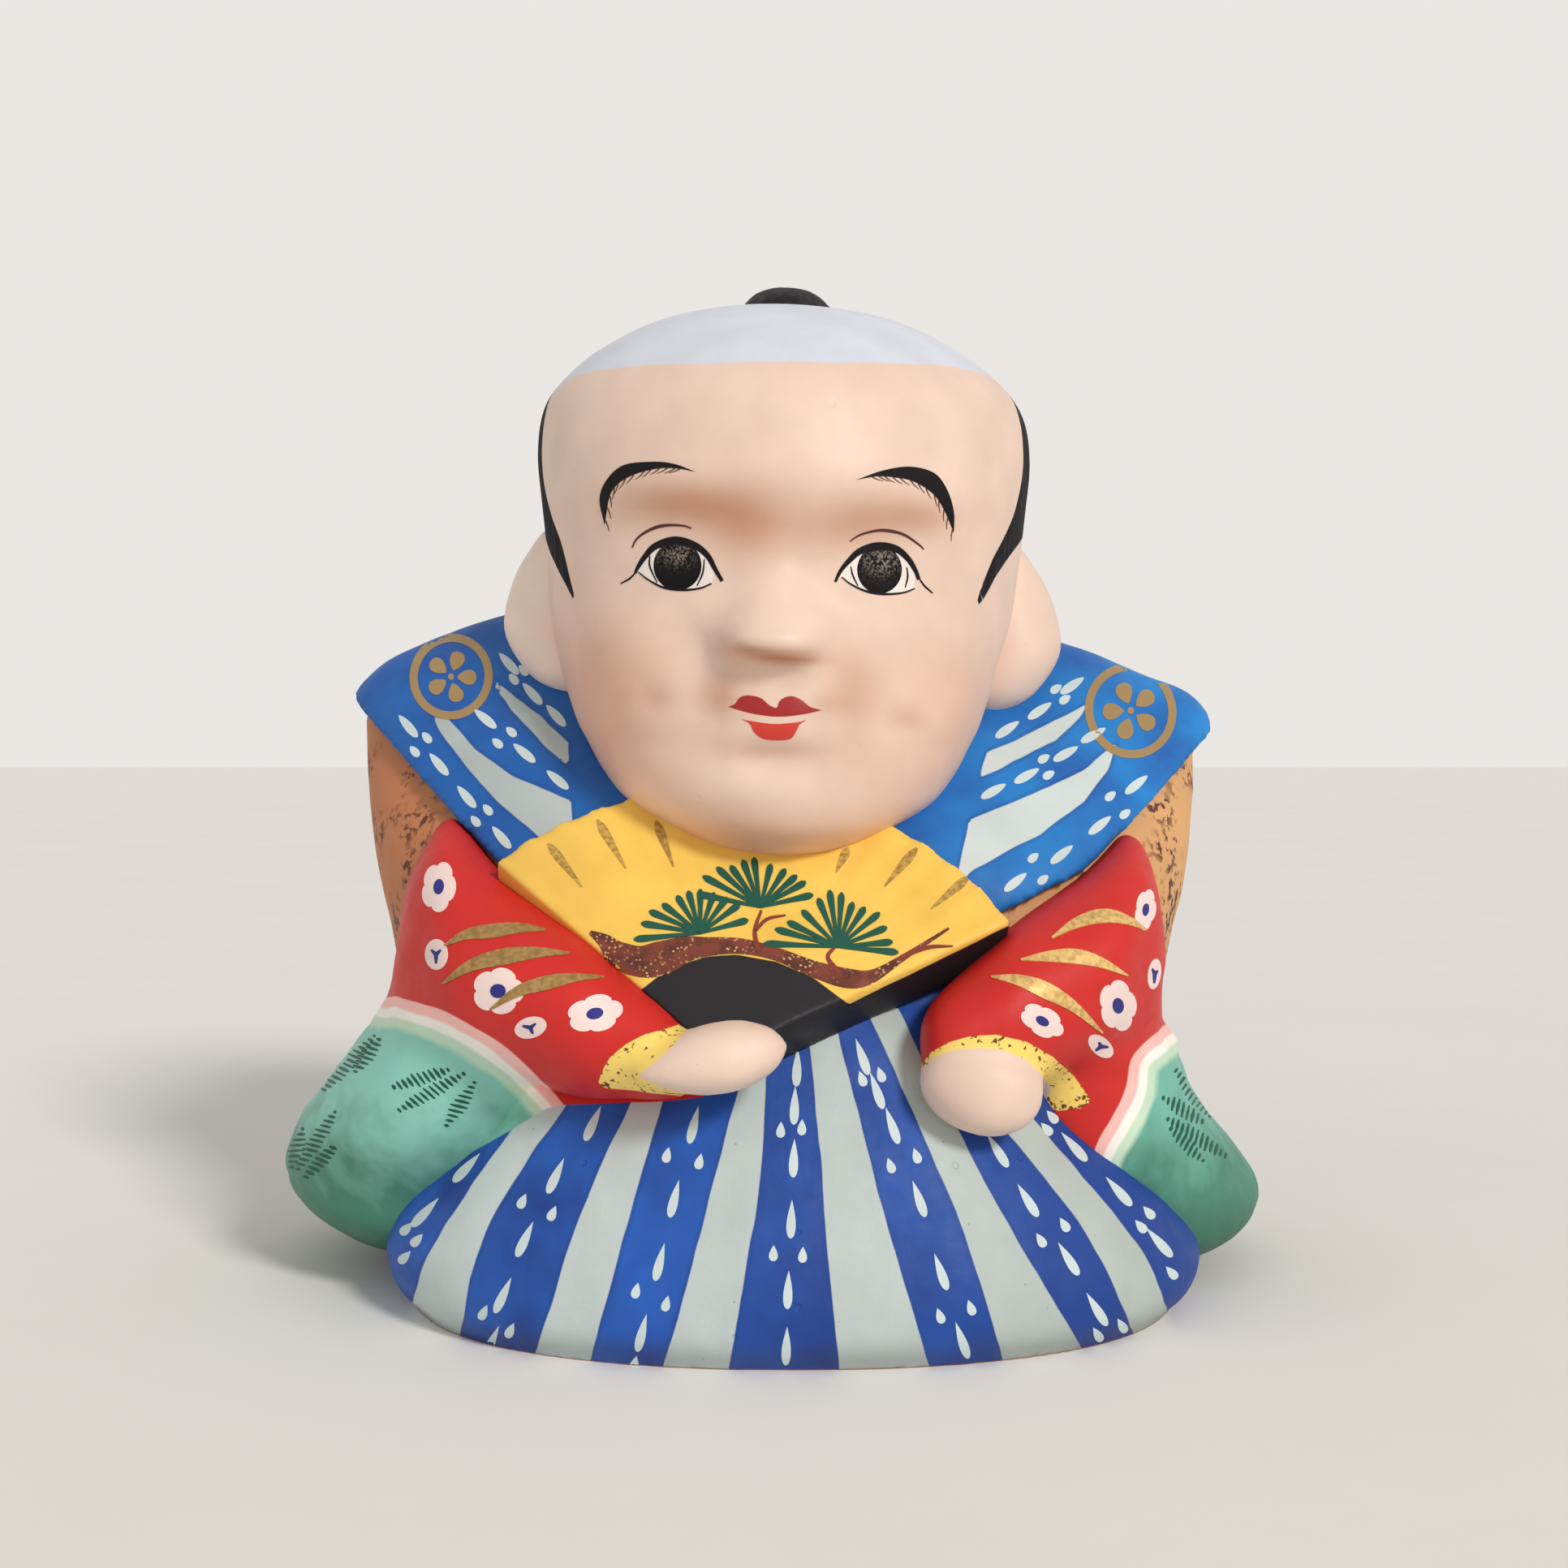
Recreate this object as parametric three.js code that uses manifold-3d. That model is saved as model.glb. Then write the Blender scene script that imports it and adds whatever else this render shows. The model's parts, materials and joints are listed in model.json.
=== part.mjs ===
// A seated clay doll in formal dress, holding a folding fan. Its pieces are pressed in moulds as
// shells and solid lumps, luted together with slip, fired and painted.
// Units are millimetres. The doll faces -Y and stands on Z = 0. Its own right hand is at -X.
import * as THREE from 'three';
import { mergeVertices } from 'three/addons/utils/BufferGeometryUtils.js';
import Module from 'manifold-3d';

const wasm = await Module();
wasm.setup();

// Clay: the wall of a pressed shell, and the slip seam between two luted pieces
const WALL = 5;
const SEAM = 0.3;

// Pressed by hand, the doll sits a little lower on its left: drop for each millimetre across, above the foot
const UNEVENNESS = 0.02;
const FOOT_HEIGHT = 12;

// The doll's widest measure, across the trailing sleeve bags, and how far in from it on each side the
// shoulders, the knees and the elbows lie
const BAG_SPAN = 154;
const SHOULDER_INSET = 11.25;
const KNEE_INSET = 16.5;
const ELBOW_INSET = 18.5;

// Trunk: the kneeling body from the floor to the shoulder ridge
const TRUNK_HEIGHT = 104;
const SHOULDER_WIDTH = BAG_SPAN - 2 * SHOULDER_INSET;
const TRUNK_DEPTH = 100;
const TRUNK_BACK = 56;
const BODY_PARTING = 10;

// Lap: the skirt spread over the knees
const LAP_HEIGHT = 60;
const LAP_WIDTH = BAG_SPAN - 2 * KNEE_INSET;
const LAP_DEPTH = 94;
const LAP_FRONT = 53;
const LAP_SQUARENESS = 2.3;

// Base disc that closes the foot, with the vent that lets steam out in the kiln
const BASE_THICKNESS = 4;
const VENT_DIAMETER = 12;
const VENT_BACK = 16;

// Head, with its chin this far above the floor and its middle this far behind the origin
const HEAD_HEIGHT = 83;
const HEAD_WIDTH = 75.5;
const HEAD_DEPTH = 74;
const CHIN_HEIGHT = 65.5;
const HEAD_BACK = 1;
const HEAD_PARTING = 12;

// Face in low relief
const NOSE_OUT = 6;
const CHEEK_OUT = 2.4;
const CHIN_OUT = 2.2;
const SOCKET_DEEP = 1.6;

// Neck tenon: a clay tube that keys the head to the body and joins their two hollows
const TENON_DIAMETER = 14;
const TENON_BORE = 8;
const TENON_LENGTH = 24;
const TENON_FORWARD = 4;

// Ears and topknot
const EAR_HEIGHT = 27;
const EAR_OUT = 6.2;
const EAR_THICKNESS = 14;
const EAR_DEPTH = 17;
const EAR_BULGE = 1.6;
const EAR_BACK = 1;
const EAR_SLANT = 3;
const TOPKNOT_LENGTH = 30;
const TOPKNOT_WIDTH = 16;
const TOPKNOT_HEIGHT = 12;
const TOPKNOT_FORWARD = 4;
const TOPKNOT_SEAT = 1.2;
const TOPKNOT_DROOP = 6;

// Shoulder wings of the vest: a slab over each shoulder, cut off below on a slant
const WING_THICKNESS = 2.4;
const WING_TIP_HEIGHT = 85.5;
const WING_BEND_OUT = 38;
const WING_BEND_HEIGHT = 60;
const WING_WAIST_HEIGHT = 44;

// Sleeves, from the elbow to the wrist on each side, and the trailing sleeve bags beside the knees
const ELBOW_OUT = BAG_SPAN / 2 - ELBOW_INSET;
const ELBOW_HEIGHT = 51;
const SLEEVE_HEIGHT = 37;
const SLEEVE_DEPTH = 46;
const FAN_WRIST_OUT = 13;
const REST_WRIST_OUT = 19;
const FAN_WRIST_HEIGHT = 42;
const REST_WRIST_HEIGHT = 43;
const WRIST_FORWARD = 8;
const BAG_HEIGHT = 42;
const BAG_LENGTH = 76;
const BAG_WIDTH = 62;
const BAG_LIFT = 4;
const BAG_BACK = 4;

// Sleeve hems: the slanted joint of each sleeve with its bag, by its height at the elbow and its two slopes
const FAN_HEM_HEIGHT = 40;
const FAN_HEM_TILT = 41;
const FAN_HEM_RAKE = 25;
const REST_HEM_HEIGHT = 38;
const REST_HEM_TILT = 49;
const REST_HEM_RAKE = 9;
const SLEEVE_BACK = 14;

// Hands, and the lining cuffs that they come out of
const HAND_LENGTH = 18;
const HAND_HEIGHT = 10.6;
const HAND_DEPTH = 14;
const CUFF_LIP = 1.7;
const CUFF_OUT = 5.1;
const CUFF_BACK = 3.4;
const FAN_HAND_OUT = 8;
const FAN_HAND_HEIGHT = 41;
const FAN_HAND_FORWARD = 10.3;
const REST_HAND_OUT = 27;
const REST_HAND_HEIGHT = 36;
const REST_HAND_FORWARD = 11;

// Fan: an open sector that leans back on the chest
const FAN_RADIUS = 45;
const FAN_THICKNESS = 9;
const FAN_LEAN = 40;
const FAN_START = 29;
const FAN_END = 136;
const FAN_PIVOT_FORWARD = 11.5;
const FAN_FOLDS = 20;

// How finely the forms are faceted
const SIDES = 28;
const ARM_STEPS = 2;
const CURVE_SAMPLES = 240;
const LEAST_RING = 0.2;

const FAR = 400;
const RIGHT = -1;
const LEFT = 1;

// Solids and geometries

function solidOf(geometry) {
  const bare = geometry.clone();
  bare.deleteAttribute('normal');
  bare.deleteAttribute('uv');
  const merged = mergeVertices(bare, 1e-4);
  const mesh = new wasm.Mesh({
    numProp: 3,
    vertProperties: new Float32Array(merged.attributes.position.array),
    triVerts: new Uint32Array(merged.index.array),
  });
  return new wasm.Manifold(mesh);
}

function geometryOf(solid) {
  const mesh = solid.getMesh();
  const geometry = new THREE.BufferGeometry();
  geometry.setAttribute('position', new THREE.BufferAttribute(new Float32Array(mesh.vertProperties), 3));
  geometry.setIndex(new THREE.BufferAttribute(new Uint32Array(mesh.triVerts), 1));
  geometry.computeVertexNormals();
  return geometry;
}

const joined = (...solids) => solids.reduce((sum, next) => sum.add(next));
const cut = (solid, ...tools) => tools.reduce((rest, tool) => rest.subtract(tool), solid);

// A block given by its lowest and highest corners
function block(low, high) {
  const geometry = new THREE.BoxGeometry(high[0] - low[0], high[1] - low[1], high[2] - low[2]);
  geometry.translate((high[0] + low[0]) / 2, (high[1] + low[1]) / 2, (high[2] + low[2]) / 2);
  return solidOf(geometry);
}

function upright(diameter, x, y, low, high) {
  const geometry = new THREE.CylinderGeometry(diameter / 2, diameter / 2, high - low, SIDES);
  geometry.rotateX(Math.PI / 2);
  geometry.translate(x, y, (low + high) / 2);
  return solidOf(geometry);
}

const aboveFloor = (floor = 0) => block([-FAR, -FAR, floor], [FAR, FAR, FAR]);
const frontOf = (y) => block([-FAR, -FAR, -FAR], [FAR, y - SEAM / 2, FAR]);
const behind = (y) => block([-FAR, y + SEAM / 2, -FAR], [FAR, FAR, FAR]);

// A form is a list of ellipse sections along one axis, each [at, across, deep, acrossCentre, deepCentre].
// Sections in between lie on a smooth curve through these.

function sectionCurve(rows) {
  const sizes = new THREE.CatmullRomCurve3(
    rows.map(([at, across, deep]) => new THREE.Vector3(at, across, deep)), false, 'catmullrom');
  const centres = new THREE.CatmullRomCurve3(
    rows.map(([, , , acrossCentre, deepCentre]) => new THREE.Vector3(acrossCentre, deepCentre, 0)),
    false, 'catmullrom');
  return (share) => {
    const size = sizes.getPoint(share);
    const centre = centres.getPoint(share);
    return [size.x, size.y, size.z, centre.x, centre.y];
  };
}

const AXES = {
  x: (at, across, deep) => [at, deep, across],
  y: (at, across, deep) => [across, at, deep],
  z: (at, across, deep) => [across, deep, at],
};

function uneven([x, y, z]) {
  return [x, y, z - UNEVENNESS * x * THREE.MathUtils.smoothstep(z, 0, FOOT_HEIGHT)];
}

// The closed solid of a form, with its surface moved out by grow, or in where grow is negative
function loft(rows, axis, grow, { relief = null, sides = SIDES, steps = 1, squareness = 2 } = {}) {
  const place = AXES[axis];
  const curve = sectionCurve(rows);
  const count = (rows.length - 1) * steps;
  const ends = [rows[0], rows[rows.length - 1]];
  const middle = (ends[0][0] + ends[1][0]) / 2;
  const halfSpan = Math.abs(ends[1][0] - ends[0][0]) / 2;
  const along = (at) => middle + (at - middle) * (1 + grow / halfSpan);
  const rounded = (turn) => Math.sign(turn) * Math.abs(turn) ** (2 / squareness);
  const points = [];
  const put = (point) => points.push(uneven(relief ? relief(point) : point)) - 1;
  const rings = [];
  for (let step = 0; step <= count; step += 1) {
    const [at, across, deep, acrossCentre, deepCentre] = curve(step / count);
    if (Math.min(across, deep) + grow < LEAST_RING) continue;
    const ring = [];
    for (let side = 0; side < sides; side += 1) {
      const turn = (side / sides) * 2 * Math.PI;
      ring.push(put(place(
        along(at),
        acrossCentre + (across + grow) * rounded(Math.cos(turn)),
        deepCentre + (deep + grow) * rounded(Math.sin(turn)))));
    }
    rings.push(ring);
  }
  const tips = ends.map(([at, , , acrossCentre, deepCentre]) =>
    put(place(along(at), acrossCentre, deepCentre)));
  const faces = [];
  const first = rings[0];
  const last = rings[rings.length - 1];
  for (let side = 0; side < sides; side += 1) {
    const next = (side + 1) % sides;
    faces.push(tips[0], first[next], first[side], tips[1], last[side], last[next]);
    for (let step = 0; step + 1 < rings.length; step += 1) {
      const [low, high] = [rings[step], rings[step + 1]];
      faces.push(low[side], low[next], high[next], low[side], high[next], high[side]);
    }
  }
  const geometry = new THREE.BufferGeometry();
  geometry.setAttribute('position', new THREE.Float32BufferAttribute(points.flat(), 3));
  geometry.setIndex(faces);
  const made = solidOf(geometry);
  if (made.volume() > 0) return made;
  for (let face = 0; face < faces.length; face += 3) {
    [faces[face + 1], faces[face + 2]] = [faces[face + 2], faces[face + 1]];
  }
  geometry.setIndex(faces);
  return solidOf(geometry);
}

// The section of an upright form at a height
function sectionAt(rows, height) {
  const curve = sectionCurve(rows);
  let best = curve(0);
  for (let sample = 1; sample <= CURVE_SAMPLES; sample += 1) {
    const next = curve(sample / CURVE_SAMPLES);
    if (Math.abs(next[0] - height) < Math.abs(best[0] - height)) best = next;
  }
  return best;
}

// How far forward an upright form lies at a place across and a height, with its section as a plain ellipse
function frontAt(rows, across, height) {
  const [, wide, deep, acrossCentre, deepCentre] = sectionAt(rows, height);
  const share = Math.min(Math.abs(across - acrossCentre) / Math.max(wide, LEAST_RING), 0.97);
  return deepCentre - deep * Math.sqrt(1 - share * share);
}

// Rows given as shares of a height, a width and a depth
const upRows = (shares, foot, height, width, depth, back) =>
  shares.map(([rise, wide, deep, shift]) =>
    [foot + rise * height, wide * width / 2, deep * depth / 2, 0, back + shift * depth / 2]);

// Trunk and lap

// Shares: rise, width, depth, and shift of the middle from the trunk's back edge in half depths
const trunkRows = upRows([
  [-0.06, 0.86, 0.94, -1.00],
  [0.00, 0.86, 0.96, -1.00],
  [0.04, 0.89, 1.00, -1.00],
  [0.15, 0.90, 0.98, -1.00],
  [0.31, 0.89, 0.89, -1.00],
  [0.46, 0.905, 0.80, -1.00],
  [0.59, 0.955, 0.73, -0.98],
  [0.69, 0.985, 0.60, -0.92],
  [0.77, 1.00, 0.47, -0.86],
  [0.82, 1.00, 0.37, -0.81],
  [0.87, 0.93, 0.285, -0.78],
  [0.91, 0.80, 0.21, -0.76],
  [0.945, 0.64, 0.15, -0.75],
  [0.98, 0.40, 0.09, -0.75],
  [1.00, 0.00, 0.00, -0.75],
], 0, TRUNK_HEIGHT, SHOULDER_WIDTH, TRUNK_DEPTH, TRUNK_BACK);

// Shares: rise, width, depth, and shift of the middle from the lap's front edge in half depths
const lapRows = upRows([
  [-0.10, 0.93, 0.95, 1.00],
  [0.00, 0.93, 0.95, 1.00],
  [0.05, 0.98, 0.99, 1.00],
  [0.15, 1.00, 1.00, 1.00],
  [0.30, 0.92, 0.95, 1.00],
  [0.45, 0.79, 0.87, 1.00],
  [0.60, 0.67, 0.77, 1.00],
  [0.75, 0.53, 0.66, 1.00],
  [0.88, 0.36, 0.50, 1.00],
  [0.96, 0.16, 0.25, 1.00],
  [1.00, 0.00, 0.00, 1.00],
], 0, LAP_HEIGHT, LAP_WIDTH, LAP_DEPTH, -LAP_FRONT);

const trunk = (grow) => loft(trunkRows, 'z', grow);
const lap = (grow) => loft(lapRows, 'z', grow, { squareness: LAP_SQUARENESS });
const body = (grow) => joined(trunk(grow), lap(grow));
const bodyFront = (x, z) => {
  const trunkFront = frontAt(trunkRows, x, z);
  return z < LAP_HEIGHT ? Math.min(trunkFront, frontAt(lapRows, x, z)) : trunkFront;
};

// Head and face

const headTop = CHIN_HEIGHT + HEAD_HEIGHT;
const headRise = (share) => CHIN_HEIGHT + share * HEAD_HEIGHT;

// Shares: rise, width, depth, and shift of the middle in half depths
const headRows = upRows([
  [0.000, 0.00, 0.00, -0.60],
  [0.024, 0.25, 0.25, -0.58],
  [0.055, 0.42, 0.42, -0.53],
  [0.095, 0.59, 0.56, -0.44],
  [0.140, 0.685, 0.68, -0.35],
  [0.190, 0.755, 0.765, -0.27],
  [0.240, 0.815, 0.84, -0.20],
  [0.345, 0.89, 0.92, -0.11],
  [0.475, 0.94, 0.975, -0.055],
  [0.610, 0.98, 1.00, -0.03],
  [0.710, 1.00, 1.00, -0.01],
  [0.800, 0.968, 0.96, 0.01],
  [0.873, 0.85, 0.85, 0.04],
  [0.928, 0.69, 0.70, 0.07],
  [0.970, 0.50, 0.51, 0.09],
  [0.994, 0.26, 0.27, 0.10],
  [1.000, 0.00, 0.00, 0.10],
], CHIN_HEIGHT, HEAD_HEIGHT, HEAD_WIDTH, HEAD_DEPTH, HEAD_BACK);

// A soft swelling or hollow of the face: its place across and up, its spreads, and how far it stands out
const faceForms = [
  { x: 0, z: headRise(0.33), wide: 0.07, tall: 0.055, out: NOSE_OUT },
  { x: 0, z: headRise(0.42), wide: 0.05, tall: 0.07, out: NOSE_OUT * 0.35 },
  { x: 0.25, z: headRise(0.25), wide: 0.12, tall: 0.10, out: CHEEK_OUT },
  { x: -0.25, z: headRise(0.25), wide: 0.12, tall: 0.10, out: CHEEK_OUT },
  { x: 0, z: headRise(0.11), wide: 0.11, tall: 0.06, out: CHIN_OUT },
  { x: 0.18, z: headRise(0.47), wide: 0.10, tall: 0.06, out: -SOCKET_DEEP },
  { x: -0.18, z: headRise(0.47), wide: 0.10, tall: 0.06, out: -SOCKET_DEEP },
];

function faceRelief([x, y, z]) {
  if (y > HEAD_BACK) return [x, y, z];
  const swell = faceForms.reduce((sum, form) => {
    const across = (x - form.x * HEAD_WIDTH) / (form.wide * HEAD_WIDTH);
    const up = (z - form.z) / (form.tall * HEAD_HEIGHT);
    return sum + form.out * Math.exp(-(across * across + up * up) / 2);
  }, 0);
  return [x, y - swell, z];
}

const head = (grow) => loft(headRows, 'z', grow, { relief: grow < 0 ? null : faceRelief });

// Ears stand on the side of the head; shares of the ear's height, thickness and depth
const earFoot = headRise(0.235);
const earMiddle = (rise) => sectionAt(headRows, earFoot + rise * EAR_HEIGHT)[1] + EAR_OUT - EAR_THICKNESS / 2;
const earRows = (side) => [
  [0.00, 0.00, 0.00], [0.05, 0.45, 0.45], [0.17, 0.82, 0.78], [0.40, 1.00, 0.95],
  [0.68, 0.90, 1.00], [0.88, 0.60, 0.75], [0.97, 0.30, 0.35], [1.00, 0.00, 0.00],
].map(([rise, thick, deep]) => [
  earFoot + rise * EAR_HEIGHT, thick * EAR_THICKNESS / 2, deep * EAR_DEPTH / 2,
  side * (earMiddle(rise) + EAR_BULGE * Math.sin(rise * Math.PI)), HEAD_BACK + EAR_BACK + EAR_SLANT * rise,
]);
const EAR_SIDES = 20;
const ear = (side, grow) => loft(earRows(side), 'z', grow, { sides: EAR_SIDES });
const ears = (grow) => joined(ear(RIGHT, grow), ear(LEFT, grow));

// The topknot lies on the crown from back to front
const TOPKNOT_SIDES = 20;
const topknotRows = [
  [0.00, 0.00, 0.00], [0.06, 0.45, 0.45], [0.25, 0.80, 0.85], [0.55, 1.00, 1.00],
  [0.82, 0.95, 0.80], [0.96, 0.60, 0.45], [1.00, 0.00, 0.00],
].map(([run, wide, tall]) => [
  HEAD_BACK - TOPKNOT_FORWARD + run * TOPKNOT_LENGTH, wide * TOPKNOT_WIDTH / 2, tall * TOPKNOT_HEIGHT / 2,
  0, headTop - TOPKNOT_SEAT - TOPKNOT_DROOP * run * run,
]);
const topknot = (grow) => loft(topknotRows, 'y', grow, { sides: TOPKNOT_SIDES });

// Neck tenon between the head's underside and its seat in the body

const tenonY = HEAD_BACK - TENON_FORWARD;
const neckHeight = headRise(0.06);
const tenonLow = neckHeight - TENON_LENGTH / 2;
const tenonHigh = neckHeight + TENON_LENGTH / 2;
const tenonHole = upright(TENON_DIAMETER + 2 * SEAM, 0, tenonY, tenonLow - SEAM, tenonHigh + SEAM);
const neckTenon = cut(
  upright(TENON_DIAMETER, 0, tenonY, tenonLow, tenonHigh),
  upright(TENON_BORE, 0, tenonY, tenonLow - WALL, tenonHigh + WALL));

// Shoulder wings: the trunk's own shape grown outwards, kept inside a slanted front outline

function wingOutline(side, grow) {
  const reach = SHOULDER_WIDTH / 2;
  const middle = side * SEAM / 2 - side * grow;
  const outline = new THREE.Shape([
    new THREE.Vector2(middle, WING_WAIST_HEIGHT - grow),
    new THREE.Vector2(side * WING_BEND_OUT, WING_BEND_HEIGHT - grow),
    new THREE.Vector2(side * reach, WING_TIP_HEIGHT - grow),
    new THREE.Vector2(side * 2 * reach, WING_TIP_HEIGHT - grow),
    new THREE.Vector2(side * 2 * reach, FAR),
    new THREE.Vector2(middle, FAR),
  ]);
  const geometry = new THREE.ExtrudeGeometry(outline, { depth: 2 * FAR, bevelEnabled: false });
  geometry.rotateX(Math.PI / 2);
  geometry.translate(0, FAR, 0);
  return solidOf(geometry);
}

const wingMass = (side, grow) =>
  trunk(WING_THICKNESS + SEAM + grow).intersect(wingOutline(side, grow));
const wing = (side) => cut(wingMass(side, 0), body(SEAM), head(SEAM), ears(SEAM));

// Sleeves: a horn from the elbow round to the wrist, tied to the front of the body

const ARMS = {
  [RIGHT]: {
    wristOut: FAN_WRIST_OUT, wristHeight: FAN_WRIST_HEIGHT,
    hemHeight: FAN_HEM_HEIGHT, hemTilt: FAN_HEM_TILT, hemRake: FAN_HEM_RAKE,
  },
  [LEFT]: {
    wristOut: REST_WRIST_OUT, wristHeight: REST_WRIST_HEIGHT,
    hemHeight: REST_HEM_HEIGHT, hemTilt: REST_HEM_TILT, hemRake: REST_HEM_RAKE,
  },
};

// Shares: run from the elbow, height, depth, rise from the wrist to the elbow, and reach before the body
function sleeveRows(side) {
  const { wristOut, wristHeight } = ARMS[side];
  return [
    [0.00, 0.00, 0.00, 0.6, -0.375], [0.02, 0.30, 0.40, 0.6, -0.375], [0.07, 0.62, 0.75, 0.75, -0.375],
    [0.15, 0.86, 0.92, 0.9, -0.375], [0.25, 1.00, 1.00, 1.0, -0.25], [0.47, 0.85, 0.87, 0.72, 0.125],
    [0.67, 0.62, 0.64, 0.35, 0.625], [0.86, 0.46, 0.46, 0.1, 0.875], [0.96, 0.32, 0.32, 0.0, 1.00],
    [1.00, 0.00, 0.00, 0.0, 1.00],
  ].map(([run, tall, deep, lift, forward]) => {
    const x = side * (ELBOW_OUT + run * (wristOut - ELBOW_OUT));
    const z = wristHeight + lift * (ELBOW_HEIGHT - wristHeight);
    const y = bodyFront(x, z) - forward * WRIST_FORWARD;
    return [x, tall * SLEEVE_HEIGHT / 2, deep * SLEEVE_DEPTH / 2, z, y];
  });
}

const SLEEVE_SIDES = 20;
const sleeveMass = (side, grow) =>
  loft(sleeveRows(side), 'x', grow, { sides: SLEEVE_SIDES, steps: ARM_STEPS });

// Sleeve bags: the trailing lower sleeves that lie beside the knees

// Shares: rise, width, length, and shift of the middle in half lengths
const bagRows = (side) => [
  [0.00, 0.40, 0.55, 0.20], [0.06, 0.62, 0.74, 0.20], [0.15, 0.88, 0.90, 0.20], [0.26, 1.00, 0.94, 0.20],
  [0.52, 0.78, 0.94, 0.02], [0.80, 0.57, 0.80, -0.15], [0.94, 0.34, 0.50, -0.20], [1.00, 0.00, 0.00, -0.20],
].map(([rise, wide, deep, back]) => [
  BAG_LIFT + rise * BAG_HEIGHT, wide * BAG_WIDTH / 2, deep * BAG_LENGTH / 2,
  side * (BAG_SPAN - BAG_WIDTH) / 2, back * BAG_LENGTH / 2 + BAG_BACK,
]);
const BAG_SIDES = 22;
const bagMass = (side, grow) => loft(bagRows(side), 'z', grow, { sides: BAG_SIDES, steps: ARM_STEPS });

// What is above a sleeve's hem and not behind the arm, drawn in by inset
function aboveHem(side, inset) {
  const { hemHeight, hemTilt, hemRake } = ARMS[side];
  const slope = (degrees) => Math.tan(THREE.MathUtils.degToRad(degrees));
  const normal = new THREE.Vector3(-side * slope(hemTilt), slope(hemRake), 1).normalize();
  const geometry = new THREE.BoxGeometry(2 * FAR, 2 * FAR, FAR);
  geometry.translate(0, 0, FAR / 2 + inset);
  geometry.applyQuaternion(new THREE.Quaternion().setFromUnitVectors(new THREE.Vector3(0, 0, 1), normal));
  geometry.translate(side * ELBOW_OUT, 0, hemHeight);
  return solidOf(geometry).intersect(frontOf(SLEEVE_BACK + SEAM / 2 - inset));
}

const armMass = (side, grow) => joined(sleeveMass(side, grow), bagMass(side, grow));

// Hands and cuffs

const HANDS = {
  [RIGHT]: { out: FAN_HAND_OUT, height: FAN_HAND_HEIGHT, forward: FAN_HAND_FORWARD },
  [LEFT]: { out: REST_HAND_OUT, height: REST_HAND_HEIGHT, forward: REST_HAND_FORWARD },
};
const BALL_SIDES = 18;
const BALL_RINGS = 10;

function ball(centre, sizes, grow) {
  const geometry = new THREE.SphereGeometry(1, BALL_SIDES, BALL_RINGS);
  geometry.scale(...sizes.map((size) => size / 2 + grow));
  geometry.translate(...centre);
  return solidOf(geometry);
}

function handCentre(side) {
  const { out, height, forward } = HANDS[side];
  return [side * out, bodyFront(side * out, height) - forward, height];
}

const handSizes = [HAND_LENGTH, HAND_DEPTH, HAND_HEIGHT];
const handMass = (side, grow) => ball(handCentre(side), handSizes, grow);

function cuffMass(side, grow) {
  const [x, y, z] = handCentre(side);
  const sizes = [HAND_LENGTH + 2 * CUFF_LIP, HAND_DEPTH + 2 * CUFF_LIP, HAND_HEIGHT + CUFF_LIP];
  return ball([x + side * CUFF_OUT, y + CUFF_BACK, z], sizes, grow);
}

// Fan: a sector about the pivot in the right hand, leaning back on the chest

function fanMass(grow) {
  const start = THREE.MathUtils.degToRad(FAN_START);
  const end = THREE.MathUtils.degToRad(FAN_END);
  const onRay = (reach, turn) => new THREE.Vector2(reach * Math.cos(turn), reach * Math.sin(turn));
  const outline = [onRay(-grow / Math.sin((end - start) / 2), (start + end) / 2)];
  for (let fold = 0; fold <= FAN_FOLDS; fold += 1) {
    const spread = grow / FAN_RADIUS;
    const turn = THREE.MathUtils.mapLinear(fold, 0, FAN_FOLDS, start - spread, end + spread);
    outline.push(onRay(FAN_RADIUS + grow, turn));
  }
  const geometry = new THREE.ExtrudeGeometry(new THREE.Shape(outline), {
    depth: FAN_THICKNESS + 2 * grow, bevelEnabled: false,
  });
  geometry.translate(0, 0, -FAN_THICKNESS - grow);
  geometry.rotateX(THREE.MathUtils.degToRad(90 - FAN_LEAN));
  const [x, , z] = handCentre(RIGHT);
  geometry.translate(x, bodyFront(x, z) - FAN_PIVOT_FORWARD, z);
  return solidOf(geometry);
}

// The pieces, each cut back by a slip seam from what it is luted to

const bodyCavity = (grow) => cut(body(-WALL + grow), head(SEAM + WALL - grow), ears(SEAM + WALL - grow));
const bodyShell = cut(
  body(0).intersect(aboveFloor()), bodyCavity(0), head(SEAM), ears(SEAM), tenonHole);
const headShell = cut(head(0), head(-WALL), tenonHole);

const baseDisc = cut(
  bodyCavity(-SEAM).intersect(block([-FAR, -FAR, 0], [FAR, FAR, BASE_THICKNESS])),
  upright(VENT_DIAMETER, 0, VENT_BACK, -WALL, BASE_THICKNESS + WALL));

const sleeve = (side) => cut(
  armMass(side, 0).intersect(aboveHem(side, SEAM / 2)),
  body(SEAM), wingMass(side, SEAM), cuffMass(side, SEAM), handMass(side, SEAM));
const bag = (side) => cut(
  armMass(side, 0), aboveHem(side, -SEAM / 2),
  body(SEAM), wingMass(side, SEAM), cuffMass(side, SEAM), handMass(side, SEAM));

const fan = cut(
  fanMass(0), body(SEAM), head(SEAM), wingMass(RIGHT, SEAM), wingMass(LEFT, SEAM),
  armMass(RIGHT, SEAM), armMass(LEFT, SEAM));
const hand = (side) => cut(handMass(side, 0), body(SEAM), fanMass(SEAM));
const cuff = (side) => cut(cuffMass(side, 0), handMass(side, SEAM), body(SEAM), fanMass(SEAM));

// Paint colours over the fired clay

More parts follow.
